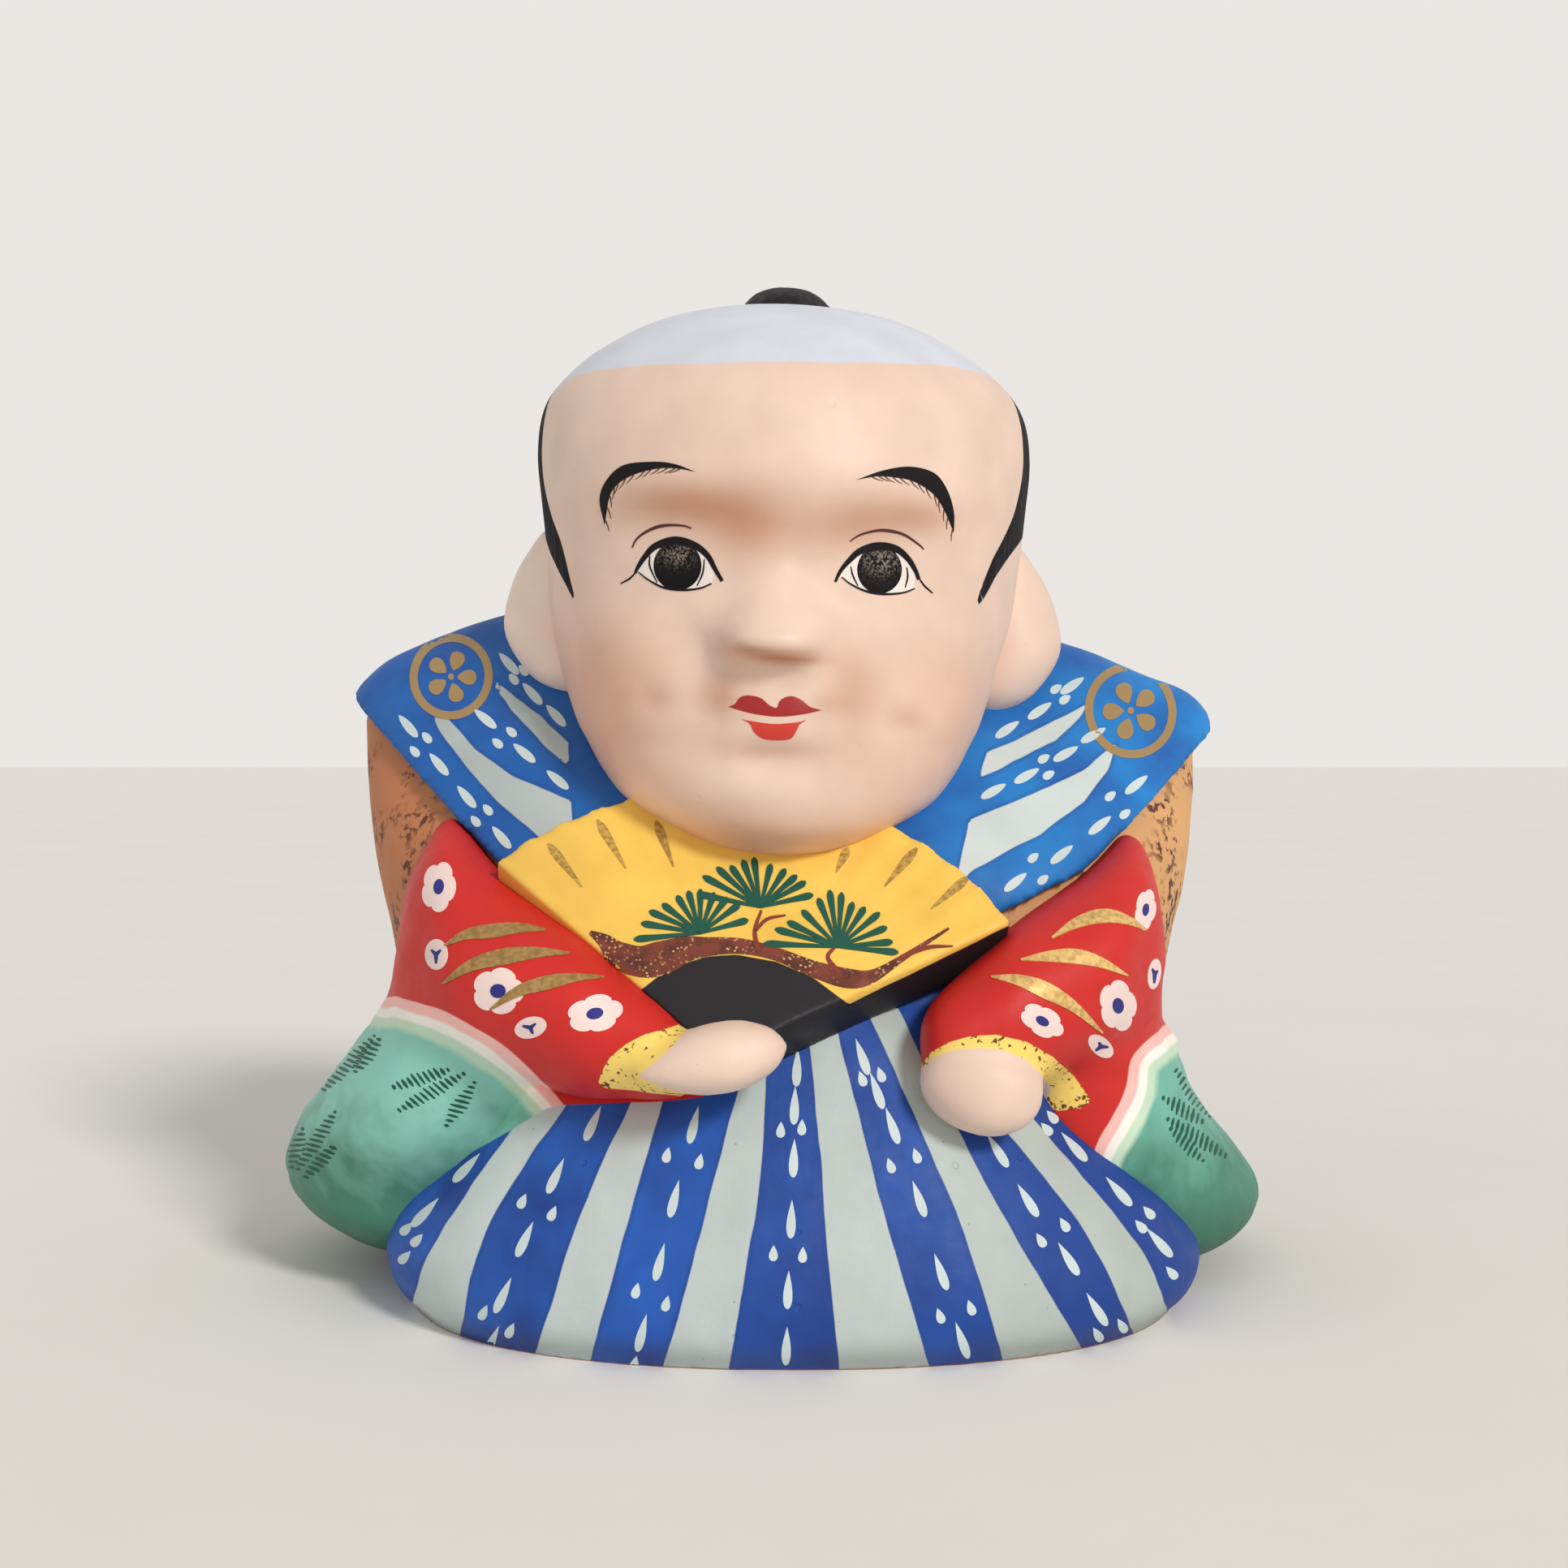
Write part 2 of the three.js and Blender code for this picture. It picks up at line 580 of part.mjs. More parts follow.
const paint = (color, roughness = 0.75) => new THREE.MeshStandardMaterial({ color, roughness, metalness: 0 });
const skin = paint('#f0cdb9');
const hairBlack = paint('#1c1a1d', 0.6);
const vestBlue = paint('#1d4fae');
const umber = paint('#c98a52');
const sleeveRed = paint('#d4211f');
const bagGreen = paint('#3f9c86');
const liningYellow = paint('#f6cd4a');
const skirtBlue = paint('#2455b4');
const bareClay = paint('#b5714c', 0.9);

const doll = new THREE.Group();
doll.name = 'clay_doll';

function add(name, solid, material) {
  const mesh = new THREE.Mesh(geometryOf(solid), material);
  mesh.name = name;
  doll.add(mesh);
}

add('body_front_shell', bodyShell.intersect(frontOf(BODY_PARTING)), skirtBlue);
add('body_back_shell', bodyShell.intersect(behind(BODY_PARTING)), umber);
add('base_disc', baseDisc, bareClay);
add('neck_tenon', neckTenon, bareClay);
add('head_front_shell', headShell.intersect(frontOf(HEAD_PARTING)), skin);
add('head_back_shell', headShell.intersect(behind(HEAD_PARTING)), hairBlack);
add('topknot', cut(topknot(0), head(SEAM)), hairBlack);
add('fan', fan, liningYellow);

for (const [name, side] of [['right', RIGHT], ['left', LEFT]]) {
  add(`${name}_ear`, cut(ear(side, 0), head(SEAM)), skin);
  add(`${name}_shoulder_wing`, wing(side), vestBlue);
  add(`${name}_sleeve`, sleeve(side), sleeveRed);
  add(`${name}_sleeve_bag`, bag(side), bagGreen);
  add(`${name}_cuff`, cuff(side), liningYellow);
  add(`${name}_hand`, hand(side), skin);
}

export default doll;
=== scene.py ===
# %% [markdown]
# This lesson dresses a seated clay doll, about 15 cm tall, that kneels in formal dress with an open fan.
# The real doll is pressed from clay in moulds, fired, primed white and painted by hand with matte water
# paints. The measured solids come in first as a frame that nothing here moves. Each form is then drawn
# again with a softer skin, and the paint goes on top of it.

# %% Load the frame
import json
import math

import bpy
import numpy as np
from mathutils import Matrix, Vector
from mathutils.bvhtree import BVHTree
from mathutils.geometry import delaunay_2d_cdt

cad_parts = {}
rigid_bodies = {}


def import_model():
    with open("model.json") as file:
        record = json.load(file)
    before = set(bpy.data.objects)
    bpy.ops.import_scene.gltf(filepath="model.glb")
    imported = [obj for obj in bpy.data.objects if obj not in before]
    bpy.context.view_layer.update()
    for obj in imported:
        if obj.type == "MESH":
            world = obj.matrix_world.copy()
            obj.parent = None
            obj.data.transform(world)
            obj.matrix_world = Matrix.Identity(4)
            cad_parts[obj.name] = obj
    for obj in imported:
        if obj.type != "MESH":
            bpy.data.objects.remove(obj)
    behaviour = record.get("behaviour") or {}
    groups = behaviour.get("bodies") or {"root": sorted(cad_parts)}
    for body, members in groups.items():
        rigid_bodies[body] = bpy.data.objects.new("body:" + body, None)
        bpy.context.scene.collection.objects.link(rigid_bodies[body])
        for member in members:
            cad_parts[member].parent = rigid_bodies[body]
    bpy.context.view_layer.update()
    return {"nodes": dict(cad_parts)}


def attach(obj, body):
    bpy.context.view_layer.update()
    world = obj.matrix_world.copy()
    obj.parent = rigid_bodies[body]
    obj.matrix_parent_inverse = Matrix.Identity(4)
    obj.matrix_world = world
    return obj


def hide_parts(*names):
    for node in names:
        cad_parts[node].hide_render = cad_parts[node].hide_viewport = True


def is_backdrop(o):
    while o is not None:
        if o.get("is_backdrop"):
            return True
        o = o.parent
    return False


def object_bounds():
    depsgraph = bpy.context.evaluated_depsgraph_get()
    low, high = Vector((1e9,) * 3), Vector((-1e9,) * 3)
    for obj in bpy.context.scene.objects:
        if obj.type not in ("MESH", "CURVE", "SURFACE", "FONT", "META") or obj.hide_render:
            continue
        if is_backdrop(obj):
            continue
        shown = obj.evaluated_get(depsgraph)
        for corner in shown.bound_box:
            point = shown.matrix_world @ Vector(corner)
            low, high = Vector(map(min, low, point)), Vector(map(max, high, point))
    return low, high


bpy.ops.object.select_all(action="SELECT")
bpy.ops.object.delete()
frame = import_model()
MM = 0.001
print("solids:", sorted(frame["nodes"]))

# %% [markdown]
# The camera stands where the photograph was taken from, about 27 cm in front of the doll at the height of
# its mouth, looking down a little. One could set it up by eye, but the painted marks are placed by their
# pixels later on, so its place and focal length were worked out from the outline of the solids.

# %% Camera
PHOTO_SIDE = 1932
FOCAL = 2660.7
SENSOR = 36.0
EYE = Vector((0.0, -330.4, 86.0)) * MM
LOOK_DOWN = 1.912
LOOK_RIGHT = 0.085
NEAR_CLIP = 0.01

bpy.ops.object.camera_add(
    location=EYE, rotation=(math.radians(90 - LOOK_DOWN), 0, math.radians(-LOOK_RIGHT)))
camera = bpy.context.object
camera.data.sensor_width = SENSOR
camera.data.lens = FOCAL / PHOTO_SIDE * SENSOR
camera.data.clip_start = NEAR_CLIP
bpy.context.scene.camera = camera
bpy.context.view_layer.update()
TURN = np.array(camera.matrix_world.to_3x3())
print("lens in mm:", round(camera.data.lens, 2))


def photo_ray(place):
    """The line of sight through a pixel of the photograph: where it starts, and its direction."""
    x, y = place
    aim = TURN @ np.array((x - PHOTO_SIDE / 2, PHOTO_SIDE / 2 - y, -FOCAL))
    return EYE, Vector(aim).normalized()


def on_photo(points):
    """The pixels at which points of the doll appear."""
    seen = (points - np.array(EYE)) @ TURN
    scale = FOCAL / -seen[:, 2]
    return np.column_stack((PHOTO_SIDE / 2 + scale * seen[:, 0], PHOTO_SIDE / 2 - scale * seen[:, 1]))


# %% [markdown]
# Clay pressed by a thumb has no hard steps: its outlines run smoothly from one measured place to the next,
# and one form rises softly out of another. Blender's curves could give that, but two short formulas serve
# for outlines, for paint and for every vertex alike.

# %% Smooth lines and soft rises
def smooth_line(points, steps):
    """Points on the smooth curve that runs through the given ones."""
    given = np.array(points, float)
    padded = np.vstack((2 * given[0] - given[1], given, 2 * given[-1] - given[-2]))
    found = []
    for start in range(len(given) - 1):
        a, b, c, d = padded[start:start + 4]
        for t in np.arange(steps) / steps:
            found.append(b + t * (c - a) / 2 + t**2 * (a - 2.5 * b + 2 * c - d / 2)
                         + t**3 * (1.5 * b - a / 2 - 1.5 * c + d / 2))
    return np.array(found + [given[-1]])


def ease(value, low, high):
    """0 below low, 1 above high, and a soft rise between them."""
    share = np.clip((value - low) / (high - low), 0, 1)
    return share * share * (3 - 2 * share)


def within(value, start, full, fall, end):
    """1 between full and fall, 0 before start and after end, and a soft slope on each side."""
    return ease(value, start, full) * (1 - ease(value, fall, end))


print("a smooth line through three places:", smooth_line([(0, 0), (1, 1), (2, 0)], 2).round(2).tolist())

# %% [markdown]
# Nearly every part of the doll is a rounded lump, so each one starts as a circle that is extruded upwards
# ring by ring, with every ring scaled to the form's section at that height. A sphere pulled about by hand
# would do for one lump, but rings follow the measured sections exactly.

# %% Forms drawn up ring by ring
AXES = {"x": (2, 1, 0), "y": (0, 2, 1), "z": (0, 1, 2)}
TURNS = {"x": (0, math.pi / 2, 0), "y": (math.pi / 2, 0, 0), "z": (0, 0, 0)}
LEAST_RING = 0.2


def ring_place(row, along):
    across, deep, run = AXES[along]
    place = Vector((0, 0, 0))
    place[run], place[across], place[deep] = row[0] * MM, row[3] * MM, row[4] * MM
    return place


def ring_size(row, along):
    across, deep, run = AXES[along]
    size = Vector((1, 1, 1))
    size[across], size[deep] = row[1] * MM, row[2] * MM
    return size


def pick_corners(piece, test):
    """Goes into edit mode with only the vertices selected that pass a test."""
    bpy.ops.object.mode_set(mode="EDIT")
    bpy.ops.mesh.select_mode(type="VERT")
    bpy.ops.mesh.select_all(action="DESELECT")
    bpy.ops.object.mode_set(mode="OBJECT")
    for corner in piece.data.vertices:
        corner.select = test(corner)
    bpy.ops.object.mode_set(mode="EDIT")


def close_end(shift):
    """Draws the selected ring together to a point, moved on by shift."""
    bpy.ops.mesh.extrude_region_move(TRANSFORM_OT_translate={"value": shift})
    bpy.ops.mesh.merge(type="CENTER")


def draw_form(name, rows, along="z", sides=64, steps=4, squareness=2.0, grow=0.0):
    """A closed form through rows of (place, half width, half depth, middle across, middle deep) in mm."""
    rows = smooth_line(rows, steps)
    middle = (rows[0, 0] + rows[-1, 0]) / 2
    half = abs(rows[-1, 0] - rows[0, 0]) / 2
    rows[:, 0] = middle + (rows[:, 0] - middle) * (1 + grow / half)
    rows[:, 1:3] += grow
    rings = [row for row in rows if min(row[1], row[2]) >= LEAST_RING]
    bpy.ops.object.select_all(action="DESELECT")
    bpy.ops.mesh.primitive_circle_add(vertices=sides, radius=1, rotation=TURNS[along])
    piece = bpy.context.object
    piece.name = name
    for corner in piece.data.vertices:
        corner.co = [math.copysign(abs(v) ** (2 / squareness), v) for v in corner.co]
    bpy.ops.object.transform_apply(location=False, rotation=True, scale=False)
    bpy.ops.object.mode_set(mode="EDIT")
    bpy.ops.transform.resize(value=ring_size(rings[0], along))
    bpy.ops.transform.translate(value=ring_place(rings[0], along))
    for last, row in zip(rings, rings[1:]):
        rise = ring_place(row, along) - ring_place(last, along)
        bpy.ops.mesh.extrude_region_move(TRANSFORM_OT_translate={"value": rise})
        ratio = [new / old for new, old in zip(ring_size(row, along), ring_size(last, along))]
        bpy.ops.transform.resize(value=ratio, center_override=ring_place(row, along))
    close_end(ring_place(rows[-1], along) - ring_place(rings[-1], along))
    bpy.ops.object.mode_set(mode="OBJECT")
    pick_corners(piece, lambda corner: corner.index < sides)
    close_end(ring_place(rows[0], along) - ring_place(rings[0], along))
    bpy.ops.mesh.select_all(action="SELECT")
    bpy.ops.mesh.normals_make_consistent(inside=False)
    bpy.ops.object.mode_set(mode="OBJECT")
    bpy.ops.object.shade_smooth()
    print(name, "rings:", len(rings))
    return piece


# %% [markdown]
# Pressed by hand, the doll sits a little lower on its left, and its lumps run into each other with soft
# creases where wet slip was wiped over the joins. A boolean would leave knife-sharp creases, so lumps that
# belong together are joined and remeshed as one skin, which is then relaxed a little.

# %% Softening and fusing
UNEVENNESS = 0.02
FOOT_HEIGHT = 12


def corners(piece):
    """A piece's vertices as an array, in mm."""
    flat = np.empty(len(piece.data.vertices) * 3)
    piece.data.vertices.foreach_get("co", flat)
    return flat.reshape(-1, 3) / MM


def move_corners(piece, places):
    piece.data.vertices.foreach_set("co", (places * MM).ravel())
    piece.data.update()


def sit_uneven(piece):
    """Lowers the doll's left side a little and raises its right one, above the foot."""
    places = corners(piece)
    places[:, 2] -= UNEVENNESS * places[:, 0] * ease(places[:, 2], 0, FOOT_HEIGHT)
    move_corners(piece, places)


def apply_modifier(piece, kind, **settings):
    bpy.context.view_layer.objects.active = piece
    modifier = piece.modifiers.new(kind.title(), kind)
    for key, value in settings.items():
        setattr(modifier, key, value)
    bpy.ops.object.modifier_apply(modifier=modifier.name)


def fuse(name, parts, grain, rounds):
    """One skin round several lumps, with a face about every grain mm."""
    bpy.ops.object.select_all(action="DESELECT")
    for part in parts:
        part.select_set(True)
    bpy.context.view_layer.objects.active = parts[0]
    if len(parts) > 1:
        bpy.ops.object.join()
    piece = bpy.context.object
    piece.name = name
    apply_modifier(piece, "REMESH", mode="VOXEL", voxel_size=grain * MM, use_smooth_shade=True)
    apply_modifier(piece, "SMOOTH", factor=0.5, iterations=rounds)
    return piece


def dent(piece, size, depth):
    """Shallow hand-made unevenness over a whole skin."""
    clouds = bpy.data.textures.new(piece.name + "_dents", "CLOUDS")
    clouds.noise_scale = size * MM
    apply_modifier(piece, "DISPLACE", texture=clouds, strength=depth * MM, mid_level=0.5)


# %% [markdown]
# Two forms of the doll end in a plain cut: the foot, and the lower edge of the vest. A plane cuts them as a
# wire cuts clay, and the operator closes the cut at once. A finished piece is then seated on the doll's one
# body and takes the place of the solids that it stands for.

# %% Cutting and seating
def keep_above(piece, place, normal):
    """Cuts a closed piece with a plane, keeps the side that the normal points to, and closes the cut."""
    bpy.ops.object.select_all(action="DESELECT")
    piece.select_set(True)
    bpy.context.view_layer.objects.active = piece
    bpy.ops.object.mode_set(mode="EDIT")
    bpy.ops.mesh.select_all(action="SELECT")
    normal = Vector(normal).normalized()
    bpy.ops.mesh.bisect(plane_co=Vector(place) * MM, plane_no=normal, use_fill=True, clear_inner=True)
    bpy.ops.object.mode_set(mode="OBJECT")


def settle(piece, nodes=()):
    """Seats a finished piece on the doll's one body, in the place of the solids that it stands for."""
    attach(piece, "root")
    if nodes:
        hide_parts(*nodes)
    print(piece.name, "faces:", len(piece.data.polygons))


# %% [markdown]
# The kneeling body is two lumps: the trunk, which rises to a sharp shoulder ridge, and the skirt spread
# over the knees in front of it. Both are drawn from their sections, fused and cut flat at the floor. The
# sections are shares of a few real sizes, so that one size can be changed without the rest.

# %% Trunk and lap
BAG_SPAN = 154
SHOULDER_INSET = 11.25
LAP_INSET = 16.5
TRUNK_HEIGHT = 104
SHOULDER_WIDTH = BAG_SPAN - 2 * SHOULDER_INSET
TRUNK_DEPTH = 100
TRUNK_BACK = 56
LAP_HEIGHT = 60
LAP_WIDTH = BAG_SPAN - 2 * LAP_INSET
LAP_DEPTH = 94
LAP_FRONT = 53
LAP_SQUARENESS = 2.3
LAP_SHIFT = 1.8
SHOULDER_DROP = 2.4
SLOPE_ACROSS = (15, 40, 58, 70)
SLOPE_UP = (72, 92)


def up_rows(shares, foot, height, width, depth, back):
    """Rows from shares of a form's height, width and depth, with the middle's shift in half depths."""
    return [(foot + rise * height, wide * width / 2, deep * depth / 2, 0, back + shift * depth / 2)
            for rise, wide, deep, shift in shares]


trunk_rows = up_rows([
    (-0.06, 0.86, 0.94, -1.00), (0.00, 0.86, 0.96, -1.00), (0.04, 0.89, 1.00, -1.00),
    (0.15, 0.90, 0.98, -1.00), (0.31, 0.89, 0.89, -1.00), (0.46, 0.905, 0.80, -1.00),
    (0.59, 0.955, 0.73, -0.98), (0.69, 0.985, 0.60, -0.92), (0.77, 1.00, 0.47, -0.86),
    (0.82, 1.00, 0.37, -0.81), (0.87, 0.93, 0.285, -0.78), (0.91, 0.80, 0.21, -0.76),
    (0.945, 0.64, 0.15, -0.75), (0.98, 0.40, 0.09, -0.75), (1.00, 0.00, 0.00, -0.75),
], 0, TRUNK_HEIGHT, SHOULDER_WIDTH, TRUNK_DEPTH, TRUNK_BACK)
lap_rows = up_rows([
    (-0.10, 0.93, 0.95, 1), (0.00, 0.93, 0.95, 1), (0.05, 0.98, 0.99, 1), (0.15, 1.00, 1.00, 1),
    (0.30, 0.92, 0.95, 1), (0.45, 0.79, 0.87, 1), (0.60, 0.67, 0.77, 1), (0.75, 0.53, 0.66, 1),
    (0.88, 0.36, 0.50, 1), (0.96, 0.16, 0.25, 1), (1.00, 0.00, 0.00, 1),
], 0, LAP_HEIGHT, LAP_WIDTH, LAP_DEPTH, -LAP_FRONT)


def drop_shoulder(piece):
    """The doll's left shoulder slopes more than its right one."""
    places = corners(piece)
    across, height = places[:, 0], places[:, 2]
    places[:, 2] -= SHOULDER_DROP * (within(across, *SLOPE_ACROSS) * ease(height, *SLOPE_UP))
    move_corners(piece, places)


SKIN_GRAIN = 1.0
trunk = draw_form("trunk", trunk_rows, sides=72)
lap = draw_form("lap", lap_rows, sides=72, squareness=LAP_SQUARENESS)
move_corners(lap, corners(lap) + (LAP_SHIFT, 0, 0))
drop_shoulder(trunk)
sit_uneven(trunk)
sit_uneven(lap)
body = fuse("body", [trunk, lap], SKIN_GRAIN, rounds=6)
dent(body, size=16, depth=0.7)
keep_above(body, (0, 0, 0), (0, 0, 1))
print("body faces after the cut:", len(body.data.polygons))

# %% [markdown]
# The real doll stands on a rim, and inside the rim a bare clay disc closes the hollow. The flat face that
# the cut left is drawn inwards, which makes the rim, and then pushed up, as one would inset and extrude it
# by hand. Last, no vertex is left below the floor.

# %% Recess under the foot
RECESS = 6
RIM_SHARE = 0.90

low = min(body.data.polygons, key=lambda face: (face.normal.z, -face.area))
print("foot face area in mm2:", round(low.area / MM**2))
for face in body.data.polygons:
    face.select = face.index == low.index
bpy.ops.object.mode_set(mode="EDIT")
bpy.ops.mesh.select_mode(type="FACE")
bpy.ops.mesh.extrude_region_move()
bpy.ops.transform.resize(value=(RIM_SHARE, RIM_SHARE, 1), center_override=low.center)
bpy.ops.mesh.extrude_region_move(TRANSFORM_OT_translate={"value": (0, 0, RECESS * MM)})
bpy.ops.mesh.select_mode(type="VERT")
bpy.ops.mesh.select_all(action="SELECT")
bpy.ops.mesh.normals_make_consistent(inside=False)
bpy.ops.object.mode_set(mode="OBJECT")
move_corners(body, np.maximum(corners(body), (-np.inf, -np.inf, 0)))
settle(body, ["body_front_shell", "body_back_shell"])

# %% [markdown]
# The formal vest lies over the shoulders as a thick layer with stiff wings, and runs down to a point at
# the waist in front and behind. It is the trunk's own form grown outwards and cut along its slanted lower
# edge by four planes. Remeshing rounds the cut edge, as a thumb rounds the edge of a clay slab.

# %% Vest
WING_PROUD = 2.7
RIGHT = -1
LEFT = 1
SIDES = {"right": RIGHT, "left": LEFT}
WING_WAIST = (0, 44)
WING_BENDS = {RIGHT: (38, 62.0), LEFT: (44, 63.3)}
WING_TIPS = {RIGHT: (SHOULDER_WIDTH / 2, 86.2), LEFT: (SHOULDER_WIDTH / 2, 80.8)}

vest = draw_form("vest", trunk_rows, sides=72, grow=WING_PROUD)
drop_shoulder(vest)
sit_uneven(vest)
for side in SIDES.values():
    for low_end, high_end in ((WING_WAIST, WING_BENDS[side]), (WING_BENDS[side], WING_TIPS[side])):
        run = high_end[0] - low_end[0]
        rise = high_end[1] - low_end[1]
        keep_above(vest, (side * low_end[0], 0, low_end[1]), (-side * rise, 0, run))
vest = fuse("vest", [vest], SKIN_GRAIN, rounds=5)
dent(vest, size=14, depth=0.5)
settle(vest, ["right_shoulder_wing", "left_shoulder_wing"])

# %% [markdown]
# Each arm is a horn that comes round from the elbow to the wrist, and the long sleeve's bag lies beside the
# knee. Both are drawn from sections again: the horn across the doll, and the bag upwards. The horn follows
# the front of the body, so its sections ask how far forward the body lies at each place.

# %% Sleeves and bags
ELBOW_INSET = 18.5
ELBOW_OUT = BAG_SPAN / 2 - ELBOW_INSET
ELBOW_HEIGHT = 51
SLEEVE_HEIGHT = 37
SLEEVE_DEPTH = 46
WRIST_FORWARD = 6.5
BAG_HEIGHT = 42
BAG_LENGTH = 76
BAG_WIDTH = 62
BAG_LIFT = 4
BAG_BACK = 4
WRISTS = {RIGHT: (11, 39.2), LEFT: (18.6, 42.0)}
MOUTHS = {RIGHT: 0.95, LEFT: 0.94}
MOUTH_RUN = (0.5, 0.9)
FINE_STEPS = 16
WIDEST_SHARE = 0.97


def front_at(rows, across, height):
    """How far forward a form lies at a place across and a height."""
    table = smooth_line(rows, FINE_STEPS)
    wide, deep, middle = (np.interp(height, table[:, 0], table[:, column]) for column in (1, 2, 4))
    share = min(abs(across) / max(wide, LEAST_RING), WIDEST_SHARE)
    return middle - deep * math.sqrt(1 - share * share)


def body_front(across, height):
    trunk_front = front_at(trunk_rows, across, height)
    return min(trunk_front, front_at(lap_rows, across, height)) if height < LAP_HEIGHT else trunk_front


def sleeve_rows(side):
    wrist_out, wrist_height = WRISTS[side]
    rows = []
    for run, tall, deep, lift, forward in (
            (0.00, 0.00, 0.00, 0.60, -0.375), (0.03, 0.42, 0.45, 0.70, -0.375),
            (0.08, 0.80, 0.78, 0.88, -0.375), (0.15, 1.00, 0.94, 1.00, -0.35),
            (0.25, 0.89, 1.00, 0.92, -0.25), (0.36, 0.77, 0.94, 0.79, -0.08),
            (0.50, 0.69, 0.82, 0.60, 0.20), (0.67, 0.62, 0.66, 0.36, 0.625),
            (0.76, 0.51, 0.57, 0.26, 0.75), (0.85, 0.42, 0.48, 0.15, 0.875),
            (0.93, 0.33, 0.39, 0.05, 1.00), (0.97, 0.24, 0.28, 0.00, 1.00),
            (0.99, 0.15, 0.17, 0.00, 1.00), (1.00, 0.00, 0.00, 0.00, 1.00)):
        x = side * (ELBOW_OUT + run * (wrist_out - ELBOW_OUT))
        z = wrist_height + lift * (ELBOW_HEIGHT - wrist_height)
        y = body_front(x, z) - forward * WRIST_FORWARD
        tall *= 1 - (1 - MOUTHS[side]) * ease(run, *MOUTH_RUN)
        rows.append((x, tall * SLEEVE_HEIGHT / 2, deep * SLEEVE_DEPTH / 2, z, y))
    return rows


def bag_rows(side):
    return [(BAG_LIFT + rise * BAG_HEIGHT, wide * BAG_WIDTH / 2, deep * BAG_LENGTH / 2,
             side * (BAG_SPAN - BAG_WIDTH) / 2, back * BAG_LENGTH / 2 + BAG_BACK)
            for rise, wide, deep, back in (
                (0.00, 0.40, 0.55, 0.20), (0.06, 0.62, 0.74, 0.20), (0.15, 0.88, 0.90, 0.20),
                (0.26, 1.00, 0.94, 0.20), (0.52, 0.78, 0.94, 0.02), (0.80, 0.57, 0.80, -0.15),
                (0.94, 0.34, 0.50, -0.20), (1.00, 0.00, 0.00, -0.20))]


arm_lumps = {}
for word, side in SIDES.items():
    arm_lumps[side] = [draw_form(word + "_sleeve_skin", sleeve_rows(side), along="x", sides=56),
                       draw_form(word + "_bag_skin", bag_rows(side), sides=56)]
print("lumps of the arms:", [lump.name for side in arm_lumps for lump in arm_lumps[side]])

# %% [markdown]
# The hands are plain mitts that come out of the sleeves. On the real doll each arm is one pressing, and only
# the paint parts the mitt from the lining and the sleeve. A mitt starts as a ball, its wrist end is drawn
# out to a point, and it hangs a little.

# %% Mitts
HANDS = {RIGHT: (9, 40.6, 12.0), LEFT: (27.3, 36.5, 11.8)}
HAND_SIZES = {RIGHT: (22.5, 12.5, 9.7), LEFT: (18.4, 12.5, 13.2)}
HAND_POINT = {RIGHT: 0.35, LEFT: 0.1}
HAND_TURN = {RIGHT: 12, LEFT: 10}
POINTED_RUN = (-0.1, 1.0)


def ball(name, middle, size):
    """A ball pulled to a size, in mm, with its place in its mesh."""
    bpy.ops.object.select_all(action="DESELECT")
    bpy.ops.mesh.primitive_uv_sphere_add(
        segments=56, ring_count=32, radius=1, rotation=(0, math.pi / 2, 0))
    piece = bpy.context.object
    piece.name = name
    bpy.ops.object.transform_apply(location=False, rotation=True, scale=False)
    bpy.ops.object.mode_set(mode="EDIT")
    bpy.ops.transform.resize(value=[side * MM / 2 for side in size])
    bpy.ops.transform.translate(value=Vector(middle) * MM)
    bpy.ops.object.mode_set(mode="OBJECT")
    bpy.ops.object.shade_smooth()
    return piece


def hang(piece, middle, turn):
    """Turns a lump in the plane of the front, so that its outer end hangs."""
    places = corners(piece) - middle
    cos, sin = math.cos(math.radians(turn)), math.sin(math.radians(turn))
    across, up = places[:, 0].copy(), places[:, 2].copy()
    places[:, 0] = across * cos - up * sin
    places[:, 2] = across * sin + up * cos
    move_corners(piece, places + middle)


for word, side in SIDES.items():
    out, height, forward = HANDS[side]
    middle = np.array((side * out, body_front(side * out, height) - forward, height))
    mitt = ball(word + "_mitt", middle, HAND_SIZES[side])
    places = corners(mitt)
    wristward = side * (places[:, 0] - middle[0]) / (HAND_SIZES[side][0] / 2)
    taper = 1 - HAND_POINT[side] * ease(wristward, *POINTED_RUN)
    places[:, 2] = middle[2] + (places[:, 2] - middle[2]) * taper
    move_corners(mitt, places)
    hang(mitt, middle, -side * HAND_TURN[side])
    arm_lumps[side].append(mitt)
    print(word, "mitt in mm:", corners(mitt).min(0).round(1), corners(mitt).max(0).round(1))

# %% [markdown]
# Where two colours meet on one form, each vertex keeps its distance to the painted edge, and the paint
# changes colour where that distance passes zero. Edges drawn this way stay sharp however coarse the mesh
# is. The edges in front are given by their pixels in the photograph, which was measured.

# %% Distance to a painted edge
PIXEL = 0.115


def depth_inside(points, outline):
    """How far inside a closed outline points lie. It is negative outside."""
    outline = np.asarray(outline, float)
    nearest = np.full(len(points), np.inf)
    inside = np.zeros(len(points), bool)
    for a, b in zip(outline, np.roll(outline, -1, axis=0)):
        run = b - a
        offset = points - a
        share = np.clip(offset @ run / max(run @ run, 1e-12), 0, 1)
        nearest = np.minimum(nearest, np.hypot(*(offset - share[:, None] * run).T))
        crosses = (a[1] > points[:, 1]) != (b[1] > points[:, 1])
        slope = run[0] / run[1] if run[1] else 0.0
        inside ^= crosses & (points[:, 0] < a[0] + (points[:, 1] - a[1]) * slope)
    return np.where(inside, nearest, -nearest)


